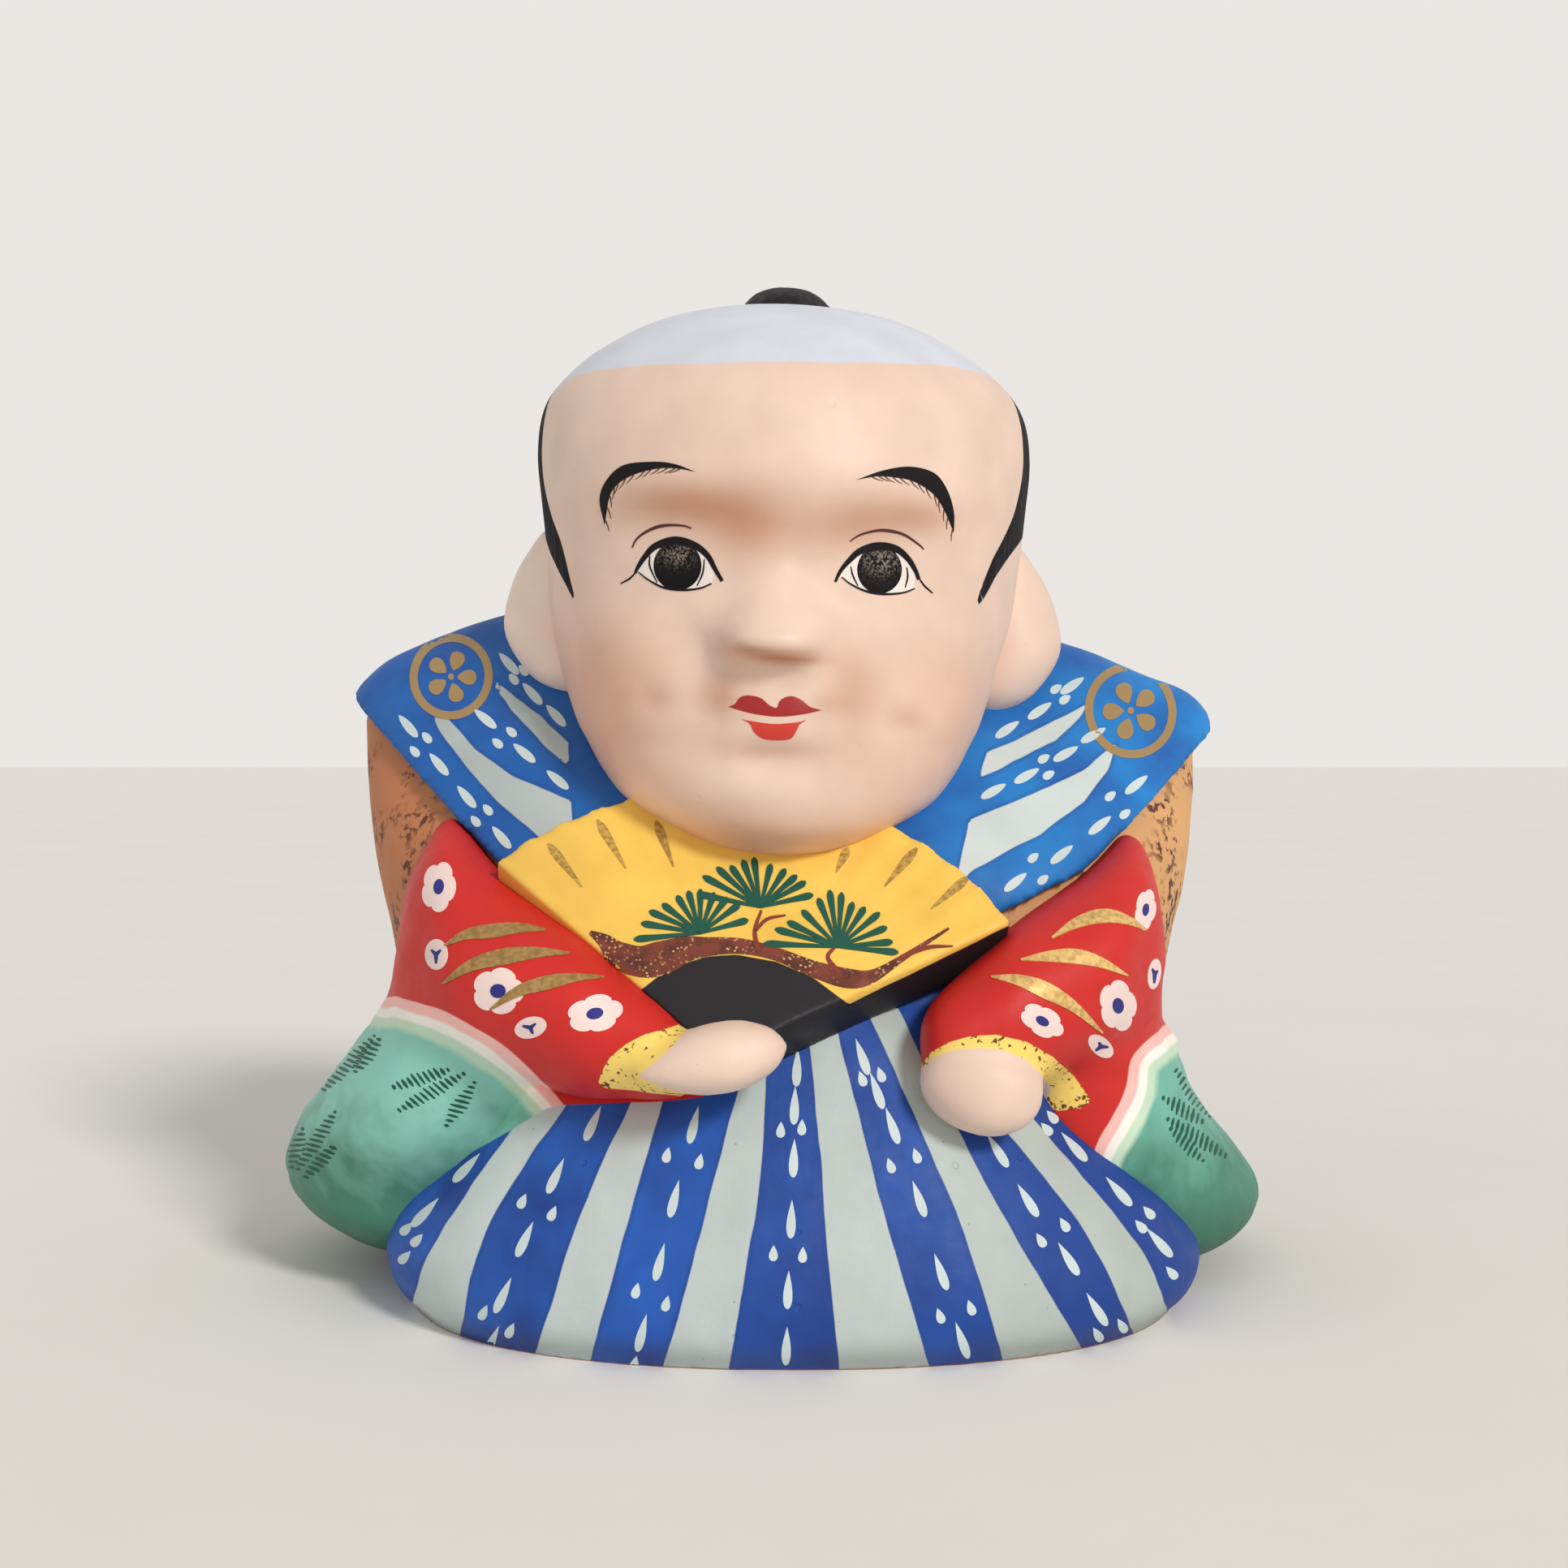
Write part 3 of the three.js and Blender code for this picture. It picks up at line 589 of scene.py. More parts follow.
def between_lines(left, right):
    """The outline between two lines that run down the photograph."""
    return np.vstack((smooth_line(left, 5), smooth_line(right, 5)[::-1]))


def photo_depth(piece, outline):
    """How far inside an outline in the photograph each vertex appears, in mm."""
    return depth_inside(on_photo(corners(piece) * MM), outline) * PIXEL


print("depth in the middle of a square:", depth_inside(np.ones((1, 2)), [(0, 0), (2, 0), (2, 2), (0, 2)]))

# %% [markdown]
# The three lumps of each arm are fused into one skin. The crease where the sleeve meets its bag is relaxed
# more than the rest, because the hem runs over it in one smooth slope. The outer side is then pressed to
# the half widths that the doll shows in the photograph, height by height.

# %% Arms in one skin
BAG_DROP = {RIGHT: 0.3, LEFT: 2.0}
OUTER_SIDES = {
    RIGHT: [(4.3, 65.2), (6.9, 70.8), (9.4, 74.6), (12.0, 77.0), (14.5, 77.5), (19.6, 77.0), (24.7, 74.2),
            (29.7, 70.0), (34.8, 66.0), (39.0, 62.6), (42.4, 60.5), (47.5, 57.2), (52.6, 56.2), (57.7, 55.5),
            (62.8, 54.3), (67.0, 51.8)],
    LEFT: [(4.3, 71.0), (6.9, 74.2), (9.4, 75.1), (14.5, 74.2), (19.6, 70.5), (24.7, 65.9), (29.7, 62.4),
           (34.8, 60.5), (37.3, 60.0), (39.9, 58.0), (42.4, 56.6), (47.5, 55.9), (50.0, 56.2), (60.2, 55.2),
           (65.5, 54.0)],
}
HEMS = {
    RIGHT: [(420, 1222), (472, 1228), (496, 1230), (544, 1245), (586, 1267), (628, 1294), (662, 1326),
            (693, 1360), (740, 1440)],
    LEFT: [(1500, 1190), (1436, 1262), (1396, 1300), (1388, 1338), (1370, 1378), (1350, 1412), (1330, 1480)],
}
BEYOND_HEMS = {
    RIGHT: [(1000, 1440), (1000, 800), (300, 800), (300, 1195)],
    LEFT: [(1000, 1480), (1000, 800), (1600, 800), (1600, 1120)],
}
HEM_MIDDLE = -1.8
HEM_SPREAD = 7.0
HEM_ROUNDS = 120
OUTLINE_BAND = 0.8
OUTER_PART = (28, 52)
ARM_GRAIN = 0.9
BAG_PART = (4, 34)


def above_hem(piece, side):
    """How far each vertex lies above the hem of its sleeve, as it is seen from the front."""
    red_part = np.vstack((smooth_line(HEMS[side], 6), BEYOND_HEMS[side]))
    return photo_depth(piece, red_part)


def relax_hem(piece, side):
    """Smooths a band along the hem, most of all in the crease below it."""
    group = piece.vertex_groups.new(name="hem")
    nearness = np.exp(-((above_hem(piece, side) - HEM_MIDDLE) / HEM_SPREAD) ** 2)
    for index, weight in enumerate(nearness):
        group.add([index], weight, "REPLACE")
    apply_modifier(piece, "SMOOTH", factor=0.5, iterations=HEM_ROUNDS, vertex_group="hem")
    piece.vertex_groups.clear()


def press_to_outline(piece, side):
    """Moves the outer side of an arm in or out to the widths of the photograph."""
    places = corners(piece)
    out = side * places[:, 0]
    heights, reaches = np.array(OUTER_SIDES[side]).T
    now = np.array([out[abs(places[:, 2] - height) < OUTLINE_BAND].max() for height in heights])
    pull = np.interp(places[:, 2], heights, reaches - now)
    places[:, 0] += side * pull * ease(out, *OUTER_PART)
    move_corners(piece, places)
    print(piece.name, "pressed in and out by mm:", (reaches - now).round(1))


arms = {}
for word, side in SIDES.items():
    for part in arm_lumps[side]:
        sit_uneven(part)
    arm = fuse(word + "_arm", arm_lumps[side], ARM_GRAIN, rounds=20)
    places = corners(arm)
    places[:, 2] -= BAG_DROP[side] * (1 - ease(places[:, 2], *BAG_PART))
    move_corners(arm, places)
    relax_hem(arm, side)
    press_to_outline(arm, side)
    dent(arm, size=15, depth=0.5)
    settle(arm, [word + ending for ending in ("_sleeve", "_sleeve_bag", "_cuff", "_hand")])
    arms[side] = arm

# %% [markdown]
# The small face is in low relief, because the mould presses it from a flat sheet of clay. Nose, lips,
# cheeks, chin and eye sockets are each a soft swelling or hollow with a named place. That is nearer to a
# thumb on clay than sculpting from a sphere, and a swelling can be moved by one number.

# %% Face in low relief
# Across, up, spread across, spread up, and how far it stands out, in mm
FACE_FORMS = {
    "cheeks": [(-19, 87, 9, 8.5, 2.4), (18, 86, 9, 8.5, 2.4)],
    "lips": [(-3.6, 86.6, 2.6, 1.4, 0.5), (2.2, 86.6, 2.6, 1.4, 0.5), (-1, 83.2, 3.4, 1.5, 0.8)],
    "lip hollow": [(-1, 79.6, 5, 1.8, -0.7)],
    "chin": [(-1, 73.5, 7.5, 5, 2.2)],
    "sockets": [(-14.5, 106, 7, 5, -1.5), (13.2, 106, 7, 5, -1.5)],
    "eyeballs": [(-14.3, 105.6, 4.4, 3.4, 1.1), (13.1, 105.4, 4.4, 3.4, 1.1)],
    "brows": [(-13.5, 117, 9, 3.5, 0.8), (13, 117, 9, 3.5, 0.8)],
    "dimples": [(-17.3, 87.6, 1.6, 1.5, -0.6), (16.8, 85, 1.6, 1.5, -0.6)],
    "nostrils": [(-6.2, 94.2, 2.0, 2.1, 1.4), (4.0, 93.8, 2.1, 2.2, 1.7)],
}
NOSE_MIDDLE = -1.4
NOSE_TIP = 95.8
NOSE_OUT = 7.3
NOSE_ROUND = 0.045
NOSE_RIDGE = 3.0
NOSE_WINGS = 2.6
NOSE_WING_HEIGHT = 6
BRIDGE_HEIGHT = 6.4
UNDER_NOSE = 3.5
MOUTH_MOUND = (-1.0, 87.5, 8.2, 8.0, 1.5)


def swelling(x, z):
    """How far the face stands out from the plain egg."""
    out = np.zeros_like(x)
    for forms in FACE_FORMS.values():
        for across, up, wide, tall, proud in forms:
            out += proud * np.exp(-((x - across) / wide) ** 2 / 2 - ((z - up) / tall) ** 2 / 2)
    across, up, wide, tall, proud = MOUTH_MOUND
    out += proud * np.exp(-((x - across) / wide) ** 4 - ((z - up) / tall) ** 4)
    above = np.clip(z - NOSE_TIP, 0, None)
    below = np.clip(NOSE_TIP + NOSE_ROUND * (x - NOSE_MIDDLE) ** 2 - z, 0, None)
    wide = NOSE_RIDGE + NOSE_WINGS * np.exp(-(above / NOSE_WING_HEIGHT) ** 2)
    rise = np.exp(-(above / BRIDGE_HEIGHT) ** 1.6) * np.exp(-(below / UNDER_NOSE) ** 3)
    return out + NOSE_OUT * rise * np.exp(-np.abs((x - NOSE_MIDDLE) / wide) ** 2.4 / 2)


nose_tip = swelling(np.array([NOSE_MIDDLE]), np.array([NOSE_TIP]))[0]
print("the nose stands out by mm:", round(float(nose_tip), 1))

# %% [markdown]
# The head is a big smooth egg. Its rings are close together, so that the relief of the face can be raised by
# moving each vertex forward. Like the real one it isn't even: it is a little slimmer at the right temple and
# at the left of the jaw.

# %% Head
HEAD_HEIGHT = 83
HEAD_WIDTH = 75.5
HEAD_DEPTH = 74
CHIN_HEIGHT = 65.5
HEAD_BACK = 1
FACE_TURN = (0, 8)
TEMPLE_SLIM = 0.024
TEMPLE_HEIGHTS = (98, 114)
JAW_SLIM = 0.028
JAW_HEIGHTS = (92, 102)
CROWN_LOWER = 1.1
CROWN_HEIGHTS = (122, 148)
CHIN_LOWER = 1.1
CHIN_HEIGHTS = (65, 82)

head_rows = up_rows([
    (0.000, 0.00, 0.00, -0.60), (0.024, 0.25, 0.25, -0.58), (0.055, 0.42, 0.42, -0.53),
    (0.095, 0.59, 0.56, -0.44), (0.140, 0.685, 0.68, -0.35), (0.190, 0.755, 0.765, -0.27),
    (0.240, 0.815, 0.84, -0.20), (0.345, 0.89, 0.92, -0.11), (0.475, 0.94, 0.975, -0.055),
    (0.610, 0.98, 1.00, -0.03), (0.710, 1.00, 1.00, -0.01), (0.800, 0.968, 0.96, 0.01),
    (0.873, 0.85, 0.85, 0.04), (0.928, 0.69, 0.70, 0.07), (0.970, 0.50, 0.51, 0.09),
    (0.994, 0.26, 0.27, 0.10), (1.000, 0.00, 0.00, 0.10),
], CHIN_HEIGHT, HEAD_HEIGHT, HEAD_WIDTH, HEAD_DEPTH, HEAD_BACK)

head = draw_form("head", head_rows, sides=208, steps=9)
places = corners(head)
facing = ease(-(places[:, 1] - HEAD_BACK), *FACE_TURN)
places[:, 1] -= facing * swelling(places[:, 0], places[:, 2])
height = places[:, 2].copy()
temple = TEMPLE_SLIM * ease(height, *TEMPLE_HEIGHTS)
jaw = JAW_SLIM * (1 - ease(height, *JAW_HEIGHTS))
places[:, 0] *= 1 - np.where(places[:, 0] < 0, temple, jaw)
places[:, 2] -= CROWN_LOWER * ease(height, *CROWN_HEIGHTS) + CHIN_LOWER * (1 - ease(height, *CHIN_HEIGHTS))
move_corners(head, places)
sit_uneven(head)
apply_modifier(head, "SMOOTH", factor=0.4, iterations=2)
dent(head, size=22, depth=0.4)
settle(head, ["head_front_shell", "head_back_shell"])

# %% [markdown]
# The big ears lie flat against the head behind the jaw, with a long lobe and a shallow hollow in front of
# the rim. Each is a lens of rings whose outer side is pressed in, because a modelled rim would be finer
# than the mould can press.

# %% Ears
EAR_FOOT_SHARE = 0.235
EAR_FOOT = CHIN_HEIGHT + EAR_FOOT_SHARE * HEAD_HEIGHT
EAR_HEIGHT = 27
EAR_OUT = {RIGHT: 6.2, LEFT: 7.0}
EAR_LIFT = {RIGHT: 2.0, LEFT: 0.6}
EAR_THICKNESS = 14
EAR_BULGE = [(0, 0), (0.14, 0.7), (0.22, 1.5), (0.35, 2.3), (0.5, 1.6), (0.65, 0.5), (0.85, -1.3), (1, -1.5)]
EAR_DEPTH = 17
EAR_BACK = 1
EAR_SLANT = 3
EAR_HOLLOW = 1.8
HOLLOW_SHARE = 0.60
HOLLOW_TALL = 6.5
HOLLOW_FORWARD = 3.5
HOLLOW_DEEP = 2.4


def ear_rows(side):
    table = smooth_line(head_rows, FINE_STEPS)
    rows = []
    for rise, thick, deep in (
            (0.00, 0.00, 0.00), (0.05, 0.50, 0.45), (0.17, 0.87, 0.78), (0.40, 1.00, 0.95),
            (0.68, 0.90, 1.00), (0.88, 0.60, 0.75), (0.97, 0.30, 0.35), (1.00, 0.00, 0.00)):
        height = EAR_FOOT + EAR_LIFT[side] + rise * EAR_HEIGHT
        out = np.interp(height, table[:, 0], table[:, 1]) + EAR_OUT[side] - EAR_THICKNESS / 2
        out += np.interp(rise, *zip(*EAR_BULGE))
        back = HEAD_BACK + EAR_BACK + EAR_SLANT * rise
        rows.append((height, thick * EAR_THICKNESS / 2, deep * EAR_DEPTH / 2, side * out, back))
    return rows


ears = {}
for word, side in SIDES.items():
    ear = draw_form(word + "_ear_skin", ear_rows(side), sides=64, steps=6)
    places = corners(ear)
    up = (places[:, 2] - (EAR_FOOT + HOLLOW_SHARE * EAR_HEIGHT)) / HOLLOW_TALL
    back = (places[:, 1] + HOLLOW_FORWARD) / HOLLOW_DEEP
    places[:, 0] -= side * EAR_HOLLOW * np.exp(-up ** 2 / 2 - back ** 2 / 2)
    move_corners(ear, places)
    sit_uneven(ear)
    settle(ear, [word + "_ear"])
    ears[side] = ear

# %% [markdown]
# The topknot is a small bolster of hair that lies on the crown, thick in the middle and blunt in front. It
# is drawn from front to back, so that its rings can sink along the curve of the head.

# %% Topknot
TOPKNOT_LENGTH = 30
TOPKNOT_WIDTH = 17.6
TOPKNOT_HEIGHT = 12
TOPKNOT_SHIFT = 0.9
TOPKNOT_FORWARD = 4
TOPKNOT_SUNK = 2.0
TOPKNOT_FALL = 6

topknot_rows = [
    (HEAD_BACK - TOPKNOT_FORWARD + run * TOPKNOT_LENGTH, wide * TOPKNOT_WIDTH / 2,
     tall * TOPKNOT_HEIGHT / 2, TOPKNOT_SHIFT,
     CHIN_HEIGHT + HEAD_HEIGHT - TOPKNOT_SUNK - TOPKNOT_FALL * run * run)
    for run, wide, tall in ((0.00, 0.00, 0.00), (0.06, 0.45, 0.45), (0.25, 0.80, 0.85), (0.55, 1.00, 1.00),
                            (0.82, 0.95, 0.80), (0.96, 0.60, 0.45), (1.00, 0.00, 0.00))]
topknot = draw_form("topknot_hair", topknot_rows, along="y", sides=48, steps=6, squareness=2.3)
sit_uneven(topknot)
dent(topknot, size=5, depth=0.5)
settle(topknot, ["topknot"])

# %% [markdown]
# The fan stands open in the right hand and leans back on the chest. Its leaf is a thick slab of clay with
# faint pleats. An arc of the rim is drawn inwards ring by ring to the pivot, so that every pleat can run
# straight to it. A flat plate cut to shape would have no vertices along the pleats.

# %% Fan
FAN_RADIUS = 45
FAN_THICKNESS = 9
FAN_LEAN = 40
FAN_START = 29
FAN_END = 135.4
FAN_ACROSS = -8
FAN_UP = 41
FAN_FORWARD = 11.5
FAN_PIVOT = Vector((FAN_ACROSS, body_front(FAN_ACROSS, FAN_UP) - FAN_FORWARD, FAN_UP)) * MM
FAN_ARC = 216
FAN_RINGS = 40
FAN_LEAST = 0.02
PLEATS = 15
PLEAT_HEIGHT = 0.45
PLEAT_RUN = (0.45, 0.95)
HALF_STEP = 180 / FAN_ARC

bpy.ops.object.select_all(action="DESELECT")
bpy.ops.mesh.primitive_circle_add(vertices=FAN_ARC, radius=FAN_RADIUS * MM)
fan = bpy.context.object
fan.name = "fan_leaf"


def fan_turn(place):
    return math.degrees(math.atan2(place.y, place.x)) % 360


pick_corners(fan, lambda corner: not FAN_START - HALF_STEP <= fan_turn(corner.co) <= FAN_END + HALF_STEP)
bpy.ops.mesh.delete(type="VERT")
bpy.ops.mesh.select_all(action="SELECT")
share = 1.0
for ring in range(1, FAN_RINGS + 1):
    smaller = max(1 - ring / FAN_RINGS, FAN_LEAST)
    bpy.ops.mesh.extrude_region_move()
    bpy.ops.transform.resize(value=(smaller / share,) * 3, center_override=(0, 0, 0))
    share = smaller
bpy.ops.mesh.merge(type="CENTER")
bpy.ops.mesh.select_all(action="SELECT")
bpy.ops.mesh.normals_make_consistent(inside=False)
bpy.ops.object.mode_set(mode="OBJECT")
if fan.data.polygons[0].normal.z < 0:
    fan.data.flip_normals()
for corner in fan.data.vertices:
    reach = corner.co.length / (FAN_RADIUS * MM)
    pleat = (fan_turn(corner.co) - FAN_START) / (FAN_END - FAN_START) * PLEATS
    ridge = 2 * abs(pleat % 1 - 0.5) - 0.5
    corner.co.z += PLEAT_HEIGHT * MM * ridge * ease(reach, *PLEAT_RUN)
print("faces of the leaf:", len(fan.data.polygons))

# %% [markdown]
# The leaf is clay, not paper, so it gets its thickness behind, and remeshing rounds its edges. It was drawn
# lying flat, because rings are simplest there, and only now is it leaned back and moved to the hand.

# %% Fan thickness and place
FAN_GRAIN = 0.7

apply_modifier(fan, "SOLIDIFY", thickness=FAN_THICKNESS * MM, offset=-1)
fan = fuse("fan_leaf", [fan], FAN_GRAIN, rounds=8)
fan.rotation_euler = (math.radians(90 - FAN_LEAN), 0, 0)
fan.location = FAN_PIVOT
bpy.ops.object.transform_apply(location=True, rotation=True, scale=True)
settle(fan, ["fan"])
print("fan box in mm:", corners(fan).min(0).round(1), corners(fan).max(0).round(1))

# %% [markdown]
# The chest would come through the leaf where it leans back, so whatever stands before the middle of the
# leaf's thickness is pressed back to it. On the clay doll the fan and the chest are one mass there.

# %% Chest behind the fan
LEAF_MIDDLE = -FAN_THICKNESS / 2
LEAF_MARGIN = 1.5
TURN_MARGIN = 2


def press_behind_fan(piece):
    lean = math.radians(90 - FAN_LEAN)
    up = np.array((0, math.cos(lean), math.sin(lean)))
    out = np.array((0, -math.sin(lean), math.cos(lean)))
    places = corners(piece)
    offset = places - np.array(FAN_PIVOT) / MM
    rise, proud = offset @ up, offset @ out
    turn = np.degrees(np.arctan2(rise, offset[:, 0]))
    covered = (np.hypot(rise, offset[:, 0]) < FAN_RADIUS - LEAF_MARGIN) & (proud > LEAF_MIDDLE)
    covered &= (turn > FAN_START + TURN_MARGIN) & (turn < FAN_END - TURN_MARGIN)
    places -= np.where(covered, proud - LEAF_MIDDLE, 0)[:, None] * out
    move_corners(piece, places)
    print(piece.name, "pressed back:", int(covered.sum()), "vertices")


press_behind_fan(vest)
press_behind_fan(body)

# %% [markdown]
# The paint is a matte water paint over a white ground. It is brushed on, so its depth of colour drifts a
# little and its edges wander. Every finish is mixed in nodes on the piece's own coordinates, so it needs no
# picture. A few short helpers keep the mixing readable: a blend, a ramp, soft noise and round spots.

# %% Nodes for paint
def colour(red, green, blue):
    """A colour as the eye reads it on a screen, made linear for the shader."""
    levels = np.array((red, green, blue)) / 255
    linear = np.where(levels <= 0.04045, levels / 12.92, ((levels + 0.055) / 1.055) ** 2.4)
    return (*(float(v) for v in linear), 1.0)


def add_node(tree, kind, inputs, **settings):
    made = tree.nodes.new(kind)
    for key, value in settings.items():
        setattr(made, key, value)
    for key, value in inputs.items():
        if isinstance(value, bpy.types.NodeSocket):
            tree.links.new(value, made.inputs[key])
        else:
            made.inputs[key].default_value = value
    return made


def blend(tree, share, under, over):
    return add_node(tree, "ShaderNodeMix", {0: share, 6: under, 7: over}, data_type="RGBA").outputs[2]


def ramp(tree, value, low, high, start=0.0, end=1.0):
    inputs = {"Value": value, "From Min": low, "From Max": high, "To Min": start, "To Max": end}
    return add_node(tree, "ShaderNodeMapRange", inputs).outputs["Result"]


def maths(tree, way, first, second):
    return add_node(tree, "ShaderNodeMath", {0: first, 1: second}, operation=way).outputs[0]


def place_of(tree):
    return add_node(tree, "ShaderNodeTexCoord", {}).outputs["Object"]


def place_on(tree, axis):
    """How far along an axis a point lies, in metres."""
    return add_node(tree, "ShaderNodeSeparateXYZ", {0: place_of(tree)}).outputs[axis]


def fade(tree, axis, low, high, start=0.0, end=1.0):
    """A value that changes along an axis, between two places in mm."""
    return ramp(tree, place_on(tree, axis), low * MM, high * MM, start, end)


def cloud(tree, size, detail=3.0):
    """Soft noise from 0 to 1 with patches of a size in mm."""
    inputs = {"Vector": place_of(tree), "Scale": 1 / (size * MM), "Detail": detail}
    return add_node(tree, "ShaderNodeTexNoise", inputs).outputs["Fac"]


def mottle(tree, size, low, high, under, over, detail=3.0):
    """Two colours in soft patches of a size in mm, which change where the noise goes from low to high."""
    return blend(tree, ramp(tree, cloud(tree, size, detail), low, high), under, over)


def dots(tree, size, reach):
    """1 in small round spots, about one to each cell of a size in mm, and 0 elsewhere."""
    inputs = {"Vector": place_of(tree), "Scale": 1 / (size * MM)}
    distance = add_node(tree, "ShaderNodeTexVoronoi", inputs).outputs["Distance"]
    return ramp(tree, distance, reach / size, 1.6 * reach / size, 1.0, 0.0)


print("a mid grey made linear:", round(colour(128, 128, 128)[0], 3))

# %% [markdown]
# A coat is more than its colour. The pressed clay shows through the paint as fine tooth, slow waves and a
# few pits, and the brush leaves the gloss uneven. All coats share these, in different strengths, so one
# function lays them. Where a piece has two colours, the coat reads the distance kept on its vertices.

# %% A coat of paint
def field(tree, name):
    return add_node(tree, "ShaderNodeAttribute", {}, attribute_name=name).outputs["Fac"]


def edge(tree, name, start=0.0, soft=0.08, wobble=0.14):
    """A painted edge where a field passes a value: 0 before it and 1 after it."""
    wander = ramp(tree, cloud(tree, 6, 1), 0.25, 0.75, start - wobble, start + wobble)
    return ramp(tree, maths(tree, "SUBTRACT", field(tree, name), wander), -soft, soft)


def lay_coat(piece, name, paint, roughness=0.6, tooth=0.035, waves=0.12, pits=0.12, metal=0.0, shine=0.35,
             drift=0.055, dull=None):
    """Finishes a piece. The paint is a colour, or mixes one in nodes. A field may make the coat duller."""
    coat = bpy.data.materials.new(name)
    coat.use_nodes = True
    tree = coat.node_tree
    shader = tree.nodes["Principled BSDF"]
    shader.inputs["Metallic"].default_value = metal
    shader.inputs["Specular IOR Level"].default_value = shine
    base = paint(tree) if callable(paint) else paint
    depth = ramp(tree, cloud(tree, 9, 5), 0.3, 0.7, 1 - drift, 1 + drift)
    brushed = add_node(tree, "ShaderNodeHueSaturation", {"Color": base, "Value": depth})
    tree.links.new(brushed.outputs["Color"], shader.inputs["Base Color"])
    gloss = ramp(tree, cloud(tree, 3), 0.3, 0.7, roughness - 0.07, roughness + 0.07)
    if dull:
        gloss = maths(tree, "ADD", gloss, ramp(tree, field(tree, dull), -0.1, 0.1, 0.0, 0.5))
    tree.links.new(gloss, shader.inputs["Roughness"])
    relief = maths(tree, "MULTIPLY", cloud(tree, 0.6, 4), tooth)
    relief = maths(tree, "ADD", relief, maths(tree, "MULTIPLY", cloud(tree, 5, 2), waves))
    relief = maths(tree, "SUBTRACT", relief, maths(tree, "MULTIPLY", dots(tree, 8, 0.35), pits))
    bump = add_node(tree, "ShaderNodeBump", {"Height": relief, "Distance": MM, "Strength": 0.7})
    tree.links.new(bump.outputs["Normal"], shader.inputs["Normal"])
    piece.data.materials.clear()
    piece.data.materials.append(coat)
    print(name, "nodes:", len(tree.nodes))


def keep_field(piece, name, values):
    """Stores one number for each vertex, which the paint reads."""
    stored = piece.data.attributes.new(name, "FLOAT", "POINT")
    stored.data.foreach_set("value", np.asarray(values, np.float32))


print("plain finishes that came with the solids:", len(bpy.data.materials))

# %% [markdown]
# The skirt is white with broad blue stripes that spread from the waist to the hem. The hidden back carries
# on the same stripes round the body. Above the waist the sides show an ochre robe, stamped with brown
# clouds, and the unglazed rim underneath is bare clay.

# %% Skirt and robe paint
PALE_STRIPES = [
    between_lines([(660, 1350), (627, 1397), (589, 1450), (526, 1550), (500, 1640)],
                  [(722, 1325), (696, 1365), (636, 1450), (586, 1550), (558, 1700)]),
    between_lines([(792, 1320), (772, 1370), (735, 1450), (697, 1550), (645, 1720)],
                  [(826, 1320), (814, 1365), (789, 1450), (761, 1550), (716, 1720)]),
    between_lines([(912, 1330), (908, 1350), (881, 1450), (855, 1550), (808, 1720)],
                  [(945, 1290), (937, 1450), (922, 1550), (893, 1720)]),
    between_lines([(994, 1240), (1013, 1450), (1021, 1550), (1038, 1720)],
                  [(1024, 1240), (1077, 1450), (1105, 1550), (1156, 1720)]),
    between_lines([(1066, 1240), (1160, 1450), (1198, 1550), (1248, 1720)],
                  [(1105, 1240), (1210, 1450), (1266, 1550), (1356, 1700)]),
    between_lines([(1200, 1340), (1236, 1390), (1287, 1450), (1356, 1550), (1412, 1680)],
                  [(1226, 1318), (1262, 1365), (1334, 1450), (1412, 1550), (1455, 1670)]),
]
BACK_STRIPE = 25
BACK_PALE = 0.46
STRIPE_MIDDLE = 6
SIDE_LINE = 8
ROBE_OUT = 26
ROBE_RUN = (0, 30)
ROBE_FOOT = (44, 51)

places = corners(body)
front_pale = np.max([photo_depth(body, stripe) for stripe in PALE_STRIPES], axis=0)
turn = np.degrees(np.arctan2(places[:, 0], places[:, 1] - STRIPE_MIDDLE)) + BACK_STRIPE / 2
reach = np.hypot(places[:, 0], places[:, 1] - STRIPE_MIDDLE)
back_pale = (BACK_PALE / 2 - abs(turn / BACK_STRIPE % 1 - 0.5)) * math.radians(BACK_STRIPE) * reach
behind = places[:, 1] > SIDE_LINE
keep_field(body, "pale", np.where(behind, back_pale, front_pale))
robe_foot = np.interp(places[:, 1], ROBE_RUN, ROBE_FOOT)
keep_field(body, "robe", np.minimum(abs(places[:, 0]) - ROBE_OUT, places[:, 2] - robe_foot))

DEEP_BLUE = colour(22, 60, 138)
PALE = colour(198, 211, 211)
# A shaded and a lit copy of the robe's ochre, mixed across the doll as painted light
SHADED_OCHRE = colour(193, 124, 82)
LIT_OCHRE = colour(220, 167, 112)
UMBER = colour(92, 52, 38)
CLAY = colour(176, 112, 78)


def stamped_robe(tree):
    # Painted light: the ochre is lighter towards the doll's left and darker towards its right
    side_lit_ochre = blend(tree, fade(tree, "X", -60, 60), SHADED_OCHRE, LIT_OCHRE)
    patches = ramp(tree, cloud(tree, 8, 2), 0.46, 0.58)
    specks = ramp(tree, cloud(tree, 1.3, 4), 0.50, 0.56)
    return blend(tree, maths(tree, "MULTIPLY", patches, specks), side_lit_ochre, UMBER)


